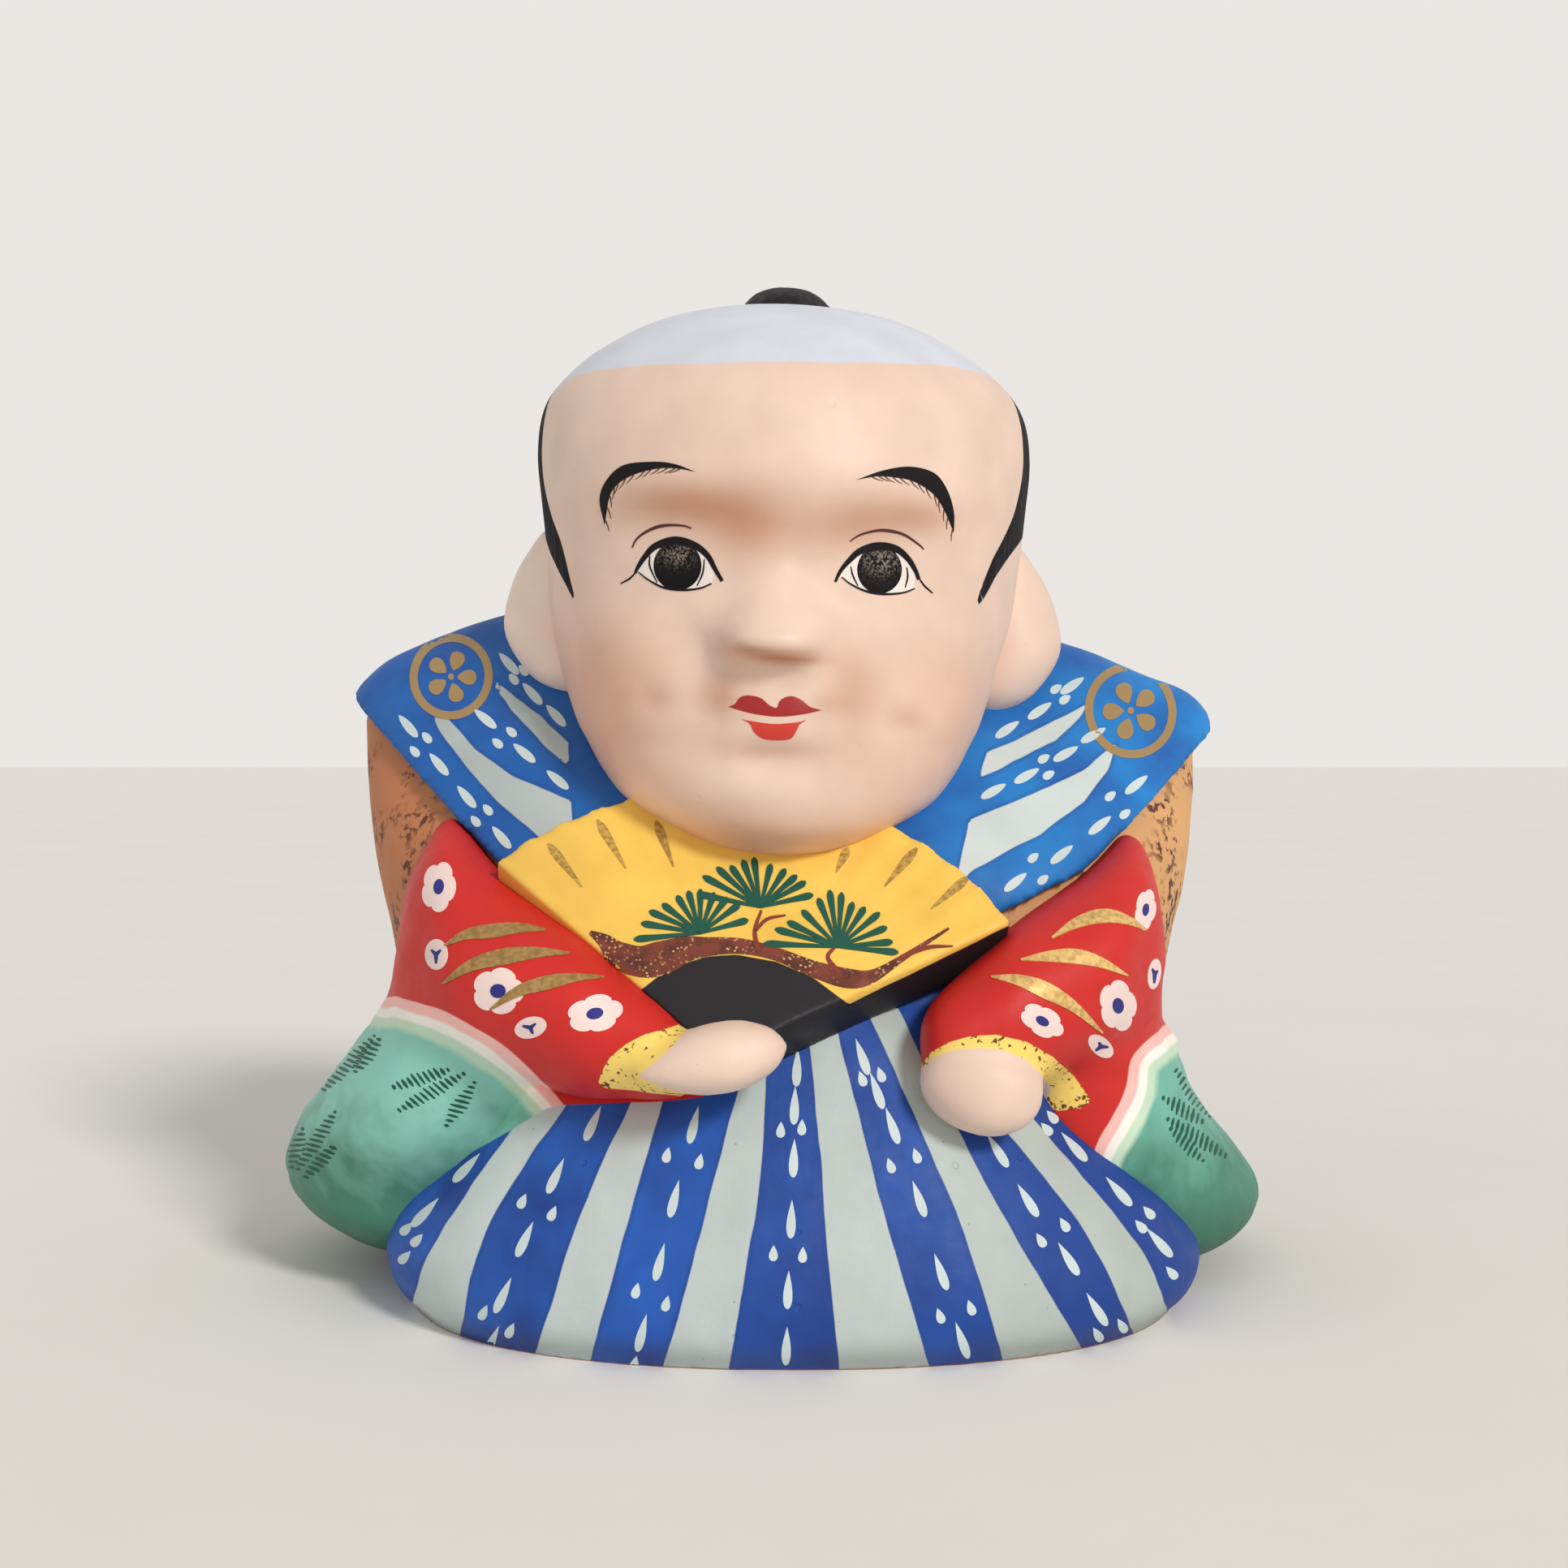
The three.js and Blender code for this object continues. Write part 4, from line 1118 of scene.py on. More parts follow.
def skirt_paint(tree):
    # Painted shade: the blue and the pale stripes grow darker towards the doll's left
    shaded = fade(tree, "X", -40, 50)
    blue = blend(tree, shaded, colour(35, 99, 196), colour(21, 64, 147))
    blue = mottle(tree, 14, 0.35, 0.7, blue, DEEP_BLUE)
    rim = edge(tree, "pale", -0.45, 0.3)
    lined = blend(tree, maths(tree, "MULTIPLY", rim, 0.45), blue, DEEP_BLUE)
    grubby = maths(tree, "MULTIPLY", dots(tree, 3.1, 0.12), 0.5)
    pale = blend(tree, grubby, blend(tree, shaded, PALE, colour(178, 189, 183)), colour(120, 116, 104))
    cloth = blend(tree, edge(tree, "pale"), lined, pale)
    cloth = blend(tree, edge(tree, "robe"), cloth, stamped_robe(tree))
    # The paint darkens over the lowest 5 mm, towards the floor
    dark_foot = fade(tree, "Z", 0, 5, 0.35, 0.0)
    cloth = blend(tree, dark_foot, cloth, colour(70, 62, 58))
    bare_rim = fade(tree, "Z", 0.05, 0.2, 1.0, 0.0)
    return blend(tree, bare_rim, cloth, CLAY)


print("pale share of the skirt:", round(float((front_pale[~behind] > 0).mean()), 2))

# %% [markdown]
# The vest is the same strong blue, with two pale stripes on each wing that open out from under a gold
# roundel towards the breast. Behind, where the photograph doesn't reach, plain stripes are given in mm and
# mirrored from one wing to the other.

# %% Vest paint
WING_STRIPES = [
    [(604, 834), (632, 856), (668, 884), (701, 915), (701, 945), (668, 916), (632, 877), (614, 852)],
    [(532, 881), (550, 882), (586, 924), (632, 956), (679, 975), (704, 987), (705, 1009), (690, 1060),
     (664, 1031), (614, 988), (571, 941), (543, 902)],
    [(1342, 866), (1299, 888), (1246, 915), (1216, 926), (1206, 959), (1246, 940), (1299, 913), (1331, 884)],
    [(1376, 915), (1335, 949), (1281, 975), (1228, 997), (1194, 1011), (1184, 1063), (1175, 1100),
     (1197, 1072), (1231, 1054), (1281, 1029), (1335, 988), (1364, 949)],
]
BACK_STRIPES = [
    [(47, 93), (30, 84), (16, 71), (9, 60), (20, 66), (34, 79)],
    [(55, 88), (46, 80), (34, 69), (22, 56), (35, 62), (46, 73)],
]
SHOULDER_RIDGE = 17

places = corners(vest)
front_pale = np.max([photo_depth(vest, stripe) for stripe in WING_STRIPES], axis=0)
flat = np.column_stack((abs(places[:, 0]), places[:, 2]))
back_pale = np.max([depth_inside(flat, stripe) for stripe in BACK_STRIPES], axis=0)
keep_field(vest, "pale", np.where(places[:, 1] > SHOULDER_RIDGE, back_pale, front_pale))


def vest_paint(tree):
    # Painted light: the blue is lighter towards the doll's left
    side_lit = blend(tree, fade(tree, "X", -20, 60), colour(24, 97, 176), colour(26, 133, 212))
    blue = mottle(tree, 14, 0.40, 0.75, side_lit, colour(22, 82, 164))
    lined = blend(tree, maths(tree, "MULTIPLY", edge(tree, "pale", -0.4, 0.3), 0.4), blue, DEEP_BLUE)
    # Painted shade: the pale stripes are darker towards the doll's right
    pale = blend(tree, fade(tree, "X", -60, 10), colour(170, 181, 180), colour(206, 218, 217))
    return blend(tree, edge(tree, "pale"), lined, pale)


lay_coat(vest, "vest_paint", vest_paint, roughness=0.55, pits=0.05)

# %% [markdown]
# The red sleeve ends in a hem of three washes, pink, white and pale green, laid side by side with a wet
# brush, and the bag below it is teal green. Painted light makes the bag lighter on the doll's right and at
# its top, and painted shade darkens it in soft streaks towards the floor. The washes come from one field,
# the distance to the hem. On the doll's right the brush ran over the groove on to the lap, so the body's
# coat has a small patch of the same paint there.

# %% Sleeve and bag paint
SLEEVE_BACK = 14
PATCH_BACK = -10
OVER_LAP = [(525, 1463), (583, 1419), (627, 1394), (648, 1381), (672, 1366), (691, 1362), (738, 1360),
            (817, 1357), (870, 1352), (870, 1290), (560, 1290)]
# Where each wash begins in mm above the hem, how soft its edge is, how far it wanders, and its colour
HEM_WASHES = [
    (-4.3, 0.4, 0.3, colour(204, 230, 204)), (-2.85, 0.2, 0.2, colour(255, 250, 240)),
    (-1.5, 0.2, 0.2, colour(255, 196, 189)), (0.0, 0.1, 0.12, colour(208, 40, 34)),
]


def sleeve_paint(tree):
    # Painted light: the green is lighter on the doll's right
    side_lit = blend(tree, fade(tree, "X", -20, 20), colour(142, 210, 194), colour(118, 188, 170))
    # Painted shade: the green darkens towards the floor, with a lit top above it in soft streaks
    deep = blend(tree, fade(tree, "Z", 3, 15), colour(34, 80, 58), colour(70, 134, 115))
    shade_streaks = ramp(tree, cloud(tree, 7, 3), 0.35, 0.7, 0.0, 8 * MM)
    lit = ramp(tree, maths(tree, "SUBTRACT", place_on(tree, "Z"), shade_streaks), 13 * MM, 28 * MM)
    wash = blend(tree, lit, deep, side_lit)
    for start, soft, wobble, tint in HEM_WASHES:
        wash = blend(tree, edge(tree, "hem", start, soft, wobble), wash, tint)
    return wash


def body_paint(tree):
    return blend(tree, edge(tree, "sleeve", 0.0, 0.08, 0.08), skirt_paint(tree), sleeve_paint(tree))


in_front = PATCH_BACK - corners(body)[:, 1]
keep_field(body, "sleeve", np.minimum(photo_depth(body, OVER_LAP), in_front))
keep_field(body, "hem", above_hem(body, RIGHT))
lay_coat(body, "skirt_and_robe_paint", body_paint, roughness=0.58, tooth=0.05, waves=0.2, pits=0.22)
for side, arm in arms.items():
    above = above_hem(arm, side)
    keep_field(arm, "hem", np.minimum(above, SLEEVE_BACK - corners(arm)[:, 1]))
    print(arm.name, "red share:", round(float((above > 0).mean()), 2))

# %% [markdown]
# The face has blush on the cheeks and brown breathed on round the eyes. Round the nose and mouth, in the
# dimples and on the chin the same brown is painted shadow, and the nose casts a painted shadow on its left.
# The shaved crown is pale, and black hair runs from the temples round the back. The hairline is drawn from
# the side, where it is longest, and the crown from the front. Blush and shade are soft spots, so their
# fields have no edge.

# %% Hairline, blush and shade
# The hairline is given by places in mm, back from the middle of the head and up
BEHIND_EAR = [(4, 113), (10, 108), (14, 96), (12, 82), (38, 78), (60, 76), (60, 158), (26, 158), (20, 149),
              (18, 144), (12, 140), (5, 137.5)]
TEMPLES = {
    RIGHT: [(-4, 135), (-8.4, 130.6), (-9.8, 126.3), (-10.2, 120), (-11.4, 116.9), (-13.4, 114.3),
            (-16.4, 110.5), (-18.7, 106.2), (-20.6, 101.4), (-17.8, 104.0), (-14.1, 106.8),
            (-8.1, 110.4), (-1, 113)],
    LEFT: [(-4.4, 136), (-9.4, 131.4), (-11.0, 127), (-12.2, 121), (-14.3, 115.8), (-17.6, 111.6),
           (-20.9, 107.2), (-23.2, 101.6), (-20.6, 103.8), (-17.4, 107.2), (-13.4, 110), (-8, 112.2),
           (-1, 113.4)],
}
SIDE_CROWN = (-3, 127)
CROWN = [(560, 540), (676, 492), (690, 476), (705, 465), (735, 456), (795, 449), (926, 445), (1083, 447),
         (1177, 451), (1215, 462), (1240, 478), (1256, 496), (1360, 540), (1360, 200), (560, 200)]
# A spot is its pixel across and down, its spread across and down, and its strength
BLUSH = [(765, 835, 55, 50, 0.6), (1160, 845, 50, 45, 0.35), (735, 925, 35, 50, 0.45),
         (1195, 930, 36, 55, 0.3), (860, 1035, 90, 22, 0.6), (1040, 1040, 80, 20, 0.45),
         (700, 800, 30, 60, 0.2)]
# The first seven shade spots are brown breathed on under and between the brows; the rest are painted shadow
# under the nose, at the mouth's corners, in the dimples, right of the mouth, under the lip and chin
SHADE = [(800, 618, 44, 20, 0.42), (862, 622, 46, 22, 0.58), (920, 654, 34, 28, 0.42),
         (960, 642, 70, 34, 0.38), (1112, 634, 46, 18, 0.55), (1050, 654, 34, 22, 0.38),
         (1145, 642, 24, 14, 0.2), (922, 800, 20, 6, 0.6), (948, 808, 18, 5, 0.75), (984, 811, 24, 6, 0.85),
         (884, 860, 18, 16, 0.6), (1016, 868, 20, 10, 0.35), (808, 862, 14, 9, 0.3),
         (1119, 886, 15, 10, 0.35), (953, 926, 42, 8, 0.35), (1054, 845, 25, 40, 0.56),
         (1060, 940, 40, 24, 0.2)]
# A painted cast shadow of the nose on its left flank, with a sharp outer edge
NOSE_SHADOW = 0.15
NOSE_SHADOW_ACROSS = (878, 891, 895, 950)
NOSE_SHADOW_DOWN = (745, 790, 880, 908)
FACEWARD = (0, 6)


def soft_spots(spots, seen):
    """The strength of several soft spots at each pixel, 1 at most."""
    total = 0
    for x, y, wide, tall, strength in spots:
        total = total + strength * np.exp(-((seen[:, 0] - x) / wide) ** 2 / 2
                                          - ((seen[:, 1] - y) / tall) ** 2 / 2)
    return np.clip(total, 0, 1)


places = corners(head)
seen = on_photo(places * MM)
level = places[:, 2] + UNEVENNESS * places[:, 0]
from_side = np.column_stack((places[:, 1], level))
hair = {}
for side, temple in TEMPLES.items():
    hair[side] = depth_inside(from_side, np.vstack((smooth_line(temple, 5), BEHIND_EAR)))
keep_field(head, "hair", np.where(places[:, 0] < 0, hair[RIGHT], hair[LEFT]))
side_crown = (from_side - SIDE_CROWN).min(axis=1)
keep_field(head, "crown", np.maximum(photo_depth(head, CROWN), side_crown))
faceward = ease(-places[:, 1], *FACEWARD)
keep_field(head, "blush", faceward * soft_spots(BLUSH, seen))
nose_shadow = within(seen[:, 0], *NOSE_SHADOW_ACROSS) * within(seen[:, 1], *NOSE_SHADOW_DOWN)
keep_field(head, "shade", faceward * np.clip(soft_spots(SHADE, seen) + NOSE_SHADOW * nose_shadow, 0, 1))
print("hair on the right, share of the head:", round(float((hair[RIGHT] > 0).mean()), 2))

# %% [markdown]
# The head is primed with shell white and tinted flesh, which dries to a soft gloss. The hair is black with
# drawn-out lighter streaks that are a painted sheen, and duller than the skin. The doll's right ear catches
# less light than the left one, so its flesh is mixed paler as painted light, as in the photograph.

# %% Head paint
SKIN = colour(238, 211, 194)
HAIR = colour(24, 22, 27)


def skin_paint(tree):
    tint = mottle(tree, 20, 0.35, 0.7, SKIN, colour(234, 205, 187))
    return blend(tree, maths(tree, "MULTIPLY", dots(tree, 6.5, 0.1), 0.35), tint, colour(150, 110, 90))


def hair_paint(tree):
    drawn = add_node(tree, "ShaderNodeMapping", {"Vector": place_of(tree), "Scale": (1, 1, 0.08)}).outputs[0]
    # Painted sheen: lighter grey streaks drawn out along the black hair
    sheen_streaks = add_node(tree, "ShaderNodeTexNoise", {"Vector": drawn, "Scale": 1 / (1.1 * MM), "Detail": 3.0})
    return blend(tree, ramp(tree, sheen_streaks.outputs["Fac"], 0.45, 0.7), HAIR, colour(50, 46, 48))


def head_paint(tree):
    blush = maths(tree, "MULTIPLY", field(tree, "blush"), 0.75)
    tint = blend(tree, blush, skin_paint(tree), colour(220, 158, 124))
    # The shade field is brown paint under the brows and painted shadow round the nose, mouth and chin
    shade = maths(tree, "MULTIPLY", field(tree, "shade"), 0.8)
    tint = blend(tree, shade, tint, colour(180, 110, 68))
    tint = blend(tree, edge(tree, "crown", 0.0, 0.15), tint, colour(218, 222, 234))
    return blend(tree, edge(tree, "hair"), tint, hair_paint(tree))


def lit_ear_skin(tree):
    return mottle(tree, 20, 0.35, 0.7, colour(252, 230, 214), colour(247, 222, 204))


lay_coat(head, "head_paint", head_paint, roughness=0.46, tooth=0.02, waves=0.05, pits=0.04, shine=0.25,
         dull="hair")
for side, ear in ears.items():
    # The doll's right ear gets a lighter skin as painted light
    tint = lit_ear_skin if side == RIGHT else skin_paint
    lay_coat(ear, ear.name + "_paint", tint, roughness=0.5, tooth=0.02, waves=0.06, pits=0.03)
lay_coat(topknot, "topknot_paint", hair_paint, roughness=0.6, shine=0.2)

# %% [markdown]
# The fan's leaf is a warm yellow that was brushed on in one coat, and its ribs below are black. The edge of
# the ribs is drawn by its pixels again, and one field on the leaf parts the two colours.

# %% Fan paint
YELLOW = colour(250, 208, 98)
WARM_YELLOW = colour(242, 194, 86)
RIBS = [(700, 1300), (788, 1221), (823, 1194), (868, 1179), (908, 1176), (957, 1185), (1002, 1205),
        (1046, 1237), (1120, 1201), (1256, 1134), (1330, 1130), (1330, 1250), (1000, 1400), (800, 1400)]
keep_field(fan, "ribs", photo_depth(fan, RIBS))


def fan_paint(tree):
    leaf = mottle(tree, 12, 0.35, 0.7, YELLOW, WARM_YELLOW)
    # Painted shade: the leaf is darker at its end on the doll's right
    leaf = blend(tree, fade(tree, "X", -42, -22), colour(230, 188, 90), leaf)
    return blend(tree, edge(tree, "ribs", 0.0, 0.06, 0.06), leaf, colour(36, 34, 39))


lay_coat(fan, "fan_paint", fan_paint, roughness=0.5, waves=0.05, pits=0.03, shine=0.25)

# %% [markdown]
# The arms get their last colours here: the mitts are skin like the face, and between mitt and sleeve lies
# the yellow lining. The sleeve was first stamped brown there, so the brown still shows as specks along the
# rim of the yellow. Both are zones with a drawn edge, as the hem is.

# %% Linings and mitts
LININGS = {
    RIGHT: [(848, 1258), (818, 1268), (794, 1274), (771, 1287), (751, 1304), (742, 1321), (737, 1334),
            (744, 1341), (771, 1343), (818, 1348), (876, 1355), (876, 1300)],
    LEFT: [(1090, 1325), (1137, 1312), (1140, 1305), (1146, 1297), (1170, 1284), (1198, 1276), (1227, 1275),
           (1265, 1284), (1299, 1303), (1323, 1325), (1342, 1351), (1345, 1359), (1332, 1366), (1304, 1368),
           (1285, 1361), (1270, 1345), (1200, 1340), (1090, 1350)],
}
MITTS = {
    RIGHT: [(783, 1326), (806, 1310), (828, 1290), (846, 1268), (850, 1240), (1040, 1220), (1040, 1400),
            (884, 1400), (874, 1354), (850, 1348), (818, 1341)],
    LEFT: [(1141, 1313), (1147, 1305), (1155, 1301), (1179, 1293), (1208, 1291), (1237, 1294), (1265, 1306),
           (1284, 1325), (1296, 1345), (1287, 1356), (1287, 1440), (1080, 1440), (1080, 1320)],
}
ARM_FRONT = -20


def lining_paint(tree):
    rim = ramp(tree, field(tree, "lining"), 0.0, 1.6, 0.08, 0.0)
    specks = ramp(tree, maths(tree, "ADD", cloud(tree, 0.9), rim), 0.63, 0.67)
    return blend(tree, specks, colour(255, 222, 116), colour(112, 62, 34))


def arm_paint(tree):
    cloth = blend(tree, edge(tree, "lining", 0.0, 0.08, 0.1), sleeve_paint(tree), lining_paint(tree))
    return blend(tree, edge(tree, "mitt", 0.0, 0.1, 0.06), cloth, skin_paint(tree))


for side, arm in arms.items():
    in_front = ARM_FRONT - corners(arm)[:, 1]
    keep_field(arm, "lining", np.minimum(photo_depth(arm, LININGS[side]), in_front))
    keep_field(arm, "mitt", np.minimum(photo_depth(arm, MITTS[side]), in_front))
    lay_coat(arm, arm.name + "_paint", arm_paint, roughness=0.52, tooth=0.025, waves=0.08, pits=0.05)

# %% [markdown]
# Two solids stay as they were measured: the disc that closes the foot, and the tube inside the neck. They
# are bare fired clay, rough and sandy, with darker grains.

# %% Bare clay
def clay_body(tree):
    return mottle(tree, 0.8, 0.4, 0.65, CLAY, colour(150, 90, 62), detail=5)


for name in ("base_disc", "neck_tenon"):
    lay_coat(frame["nodes"][name], name + "_clay", clay_body, roughness=0.85, tooth=0.08)

# %% [markdown]
# Small marks are laid on with a fine brush. Each is a thin skin of paint: its outline in the photograph is
# filled with a net of triangles, every corner of the net drops along the line of sight on to the form that
# carries it, and the net then gets a thickness. Drawn that way, a mark keeps a crisp edge at any distance,
# where a pattern in nodes would need a picture to hold it.

# %% Laying marks on a form
SUNK = 0.25
PROUD = 0.07
LEAST_SIDE = 0.01
NET_GAP = 1e-5
SHARP_ANGLE = 40


def filled(outline, step):
    """A net of triangles over a closed outline."""
    outline = np.asarray(outline, float)
    outline = outline[np.hypot(*(outline - np.roll(outline, 1, axis=0)).T) > LEAST_SIDE]
    low, high = outline.min(0), outline.max(0)
    columns, lines = (np.arange(low[way], high[way], step) for way in (0, 1))
    grid = np.array([(x, y) for x in columns for y in lines])
    grid = grid[depth_inside(grid, outline) > step / 2]
    points = [Vector(p) for p in (*outline, *grid)]
    net = delaunay_2d_cdt(points, [], [list(range(len(outline)))], 1, NET_GAP)
    return net[0], net[2]


def lay_marks(name, carrier, outlines, paint, view=photo_ray, step=5, proud=PROUD, **finish):
    """Lays one brush load of marks on the form that carries them."""
    skin = BVHTree.FromObject(carrier, bpy.context.evaluated_depsgraph_get())
    places, faces = [], []
    for outline in outlines:
        points, net = filled(outline, step)
        hits = [skin.ray_cast(*view(point))[0] for point in points]
        kept = [face for face in net if all(hits[corner] for corner in face)]
        used = sorted({corner for face in kept for corner in face})
        index = {corner: len(places) + at for at, corner in enumerate(used)}
        places += [hits[corner] for corner in index]
        faces += [[index[corner] for corner in face] for face in kept]
    mesh = bpy.data.meshes.new(name)
    mesh.from_pydata(places, [], faces)
    piece = bpy.data.objects.new(name, mesh)
    bpy.context.collection.objects.link(piece)
    if mesh.polygons[0].normal.dot(view(outlines[0][0])[1]) > 0:
        mesh.flip_normals()
    thickness = SUNK + proud
    apply_modifier(piece, "SOLIDIFY", thickness=thickness * MM, offset=(proud - SUNK) / thickness)
    mesh.shade_smooth()
    mesh.set_sharp_from_angle(angle=math.radians(SHARP_ANGLE))
    lay_coat(piece, name + "_paint", paint, **{"waves": 0.02, "pits": 0.0, **finish})
    settle(piece)
    return piece


print("corners of a net over a small square:", len(filled([(0, 0), (20, 0), (20, 20), (0, 20)], 5)[0]))

# %% [markdown]
# A round brush makes only a few marks: a stroke that swells and thins with the hand's pressure, a dab, a
# drop, and a flower of five dabs that run together. Each is an outline worked out from its place, size and
# turn, so that a whole pattern is a short list of places.

# %% Strokes, dabs and petals
ROUND_POINTS = 24
DROP_POINTS = 28
PETAL_POINTS = 60


def stroke(line, steps=6):
    """The outline of a brush stroke along rows of (x, y, width)."""
    rows = smooth_line(line, steps)
    run = np.gradient(rows[:, :2], axis=0)
    across = np.column_stack((-run[:, 1], run[:, 0])) / np.hypot(*run.T)[:, None]
    half = across * rows[:, 2:] / 2
    return np.vstack((rows[:, :2] + half, (rows[:, :2] - half)[::-1]))


def turned(points, place, turn):
    """Points turned by some degrees and moved to a place."""
    turn = math.radians(turn)
    x, y = np.asarray(points, float).T
    return np.column_stack((place[0] + x * math.cos(turn) - y * math.sin(turn),
                            place[1] + x * math.sin(turn) + y * math.cos(turn)))


def oval(place, wide, tall, turn=0.0, points=ROUND_POINTS):
    angle = np.arange(points) / points * 2 * math.pi
    return turned(np.column_stack((wide / 2 * np.cos(angle), tall / 2 * np.sin(angle))), place, turn)


def drop(place, length, width, turn, point=1.2):
    """A drop whose pointed end looks back along its direction. A lower point makes it rounder."""
    angle = np.arange(DROP_POINTS) / DROP_POINTS * 2 * math.pi
    across = np.sin(angle) * np.abs(np.sin(angle / 2)) ** point
    outline = np.column_stack((-length / 2 * np.cos(angle), width / 2 * across / across.max()))
    return turned(outline, place, turn)


def blossom(place, wide, tall, turn=0.0, lobe=0.17):
    """A flower of five round petals in one outline."""
    angle = np.arange(PETAL_POINTS) / PETAL_POINTS * 2 * math.pi
    reach = 1 - lobe + lobe * np.abs(np.cos(2.5 * angle)) ** 0.6
    outline = np.column_stack((wide / 2 * reach * np.cos(angle), tall / 2 * reach * np.sin(angle)))
    return turned(outline, place, turn)


print("points of a drop and of a blossom:", len(drop((0, 0), 9, 4, 0)), len(blossom((0, 0), 9, 9)))

# %% [markdown]
# Along the middle of every blue stripe run pale drops, one long and two small by turns, as in a fine
# resist-dyed cloth. On the skirt they fall point up; on the vest they are short round-ended dashes. Only
# their places are listed, and each row turns its drops along its own stripe.

# %% Drops on skirt and vest
SKIRT_DROPS = [
    ([(575, 1439), (524, 1494)], [(501, 1514), (514, 1528), (499, 1549)]),
    ([(731, 1384), (685, 1449), (647, 1527), (620, 1596), (605, 1655)],
     [(644, 1480), (681, 1495), (596, 1617), (629, 1639)]),
    ([(855, 1386), (831, 1477), (813, 1555), (791, 1642)],
     [(822, 1423), (862, 1431), (784, 1590), (821, 1606), (782, 1680)]),
    ([(982, 1315), (979, 1362), (978, 1427), (975, 1502), (971, 1589), (969, 1658)],
     [(962, 1392), (988, 1389), (953, 1544), (989, 1546)]),
    ([(1062, 1302), (1080, 1344), (1099, 1387), (1132, 1477), (1159, 1567), (1185, 1651)],
     [(1062, 1329), (1085, 1324), (1097, 1436), (1129, 1424), (1158, 1621), (1196, 1611)]),
    ([(1229, 1418), (1266, 1479), (1316, 1551), (1351, 1613)],
     [(1311, 1509), (1282, 1528), (1352, 1644), (1382, 1633)]),
    ([(1323, 1413), (1378, 1468), (1428, 1531)],
     [(1296, 1376), (1289, 1391), (1415, 1494), (1405, 1511), (1443, 1568)]),
]
VEST_DROPS = [
    ([(627, 818), (656, 855), (685, 882)], [(633, 837), (645, 826)]),
    ([(598, 886), (646, 928), (687, 961)], [(630, 902), (613, 916)]),
    ([(503, 895), (541, 942), (575, 982), (618, 1032)], [(526, 909), (511, 926), (601, 998), (586, 1012)]),
    ([(1321, 845), (1281, 876), (1241, 899)], [(1301, 849), (1312, 862)]),
    ([(1347, 906), (1313, 929), (1265, 956), (1224, 975)], [(1286, 935), (1292, 955)]),
    ([(1400, 967), (1355, 1017), (1308, 1053), (1251, 1087)],
     [(1368, 981), (1386, 1003), (1273, 1057), (1285, 1084)]),
]
DROP_PALE = colour(206, 221, 222)
SKIRT_BRUSH = {"long_size": (48, 11.5), "small_size": (20, 11), "point": 1.2}
VEST_BRUSH = {"long_size": (35, 11), "small_size": (16, 10), "point": 0.4}


def drop_row(longs, smalls, long_size, small_size, point):
    """The drops of one stripe, all turned along it."""
    (x0, y0), (x1, y1) = longs[0], longs[-1]
    turn = math.degrees(math.atan2(y1 - y0, x1 - x0))
    return ([drop(place, *long_size, turn, point) for place in longs]
            + [drop(place, *small_size, turn, point) for place in smalls])


skirt_drops = [mark for row in SKIRT_DROPS for mark in drop_row(*row, **SKIRT_BRUSH)]
vest_drops = [mark for row in VEST_DROPS for mark in drop_row(*row, **VEST_BRUSH)]
lay_marks("skirt_drops", body, skirt_drops, DROP_PALE)
lay_marks("vest_drops", vest, vest_drops, DROP_PALE)

# %% [markdown]
# A gold roundel sits on each shoulder and a third in the middle of the back. Each is a plain ring round a
# plain five-petal flower, drawn in bronze powder paint. The one behind is laid on from straight behind, in
# mm instead of pixels.

# %% Roundels
ROUNDELS = {"right": ((556, 834), 46, 48, 20), "left": ((1393, 876), 51, 54, -20)}
RING_WIDTH = 10
RING_OVERLAP = 0.02
PETAL_OUT = 0.42
PETAL_LENGTH = 0.52
PETAL_WIDTH = 0.40
MIDDLE_DAB = 0.16
BACK_ROUNDEL = (0, 84)
BACK_ROUNDEL_SIZE = 7.5
BACK_RING_WIDTH = 1.4
BEHIND = 300
BRONZE = colour(168, 138, 92)


def back_ray(place):
    """The line of sight through a place across and a height in mm, from straight behind."""
    return Vector((place[0], BEHIND, place[1])) * MM, Vector((0, -1, 0))


def roundel(place, wide, tall, width, turn):
    """A ring in two brush strokes, and five petals round a middle."""
    marks = []
    for start in (0, math.pi):
        angle = start + np.linspace(-RING_OVERLAP, math.pi + RING_OVERLAP, 15)
        rows = np.column_stack((wide * np.cos(angle), tall * np.sin(angle)))
        marks.append(stroke(np.column_stack((turned(rows, place, turn), np.full(len(angle), width))), 3))
    for petal in range(5):
        heading = turn - 90 + 72 * petal
        out = np.array((math.cos(math.radians(heading)), math.sin(math.radians(heading)))) * PETAL_OUT
        middle = (place[0] + out[0] * wide, place[1] + out[1] * tall)
        marks.append(drop(middle, PETAL_LENGTH * wide, PETAL_WIDTH * wide, heading, 0.8))
    return marks + [oval(place, MIDDLE_DAB * wide, MIDDLE_DAB * tall)]


gold_finish = {"metal": 0.2, "roughness": 0.45}
for word, (place, wide, tall, turn) in ROUNDELS.items():
    lay_marks(word + "_roundel", vest, roundel(place, wide, tall, RING_WIDTH, turn), BRONZE, **gold_finish)
back_marks = roundel(BACK_ROUNDEL, BACK_ROUNDEL_SIZE, BACK_ROUNDEL_SIZE, BACK_RING_WIDTH, 0)
lay_marks("back_roundel", vest, back_marks, BRONZE, view=back_ray, step=1.0, **gold_finish)

# %% [markdown]
# Plum blossom and gold grass blades are scattered over the red sleeves. The petals are one loose blob of
# pinkish white with a blue heart, the buds are ovals with a forked blue stem, and each blade is a single
# stroke of bronze paint that swells in the middle.

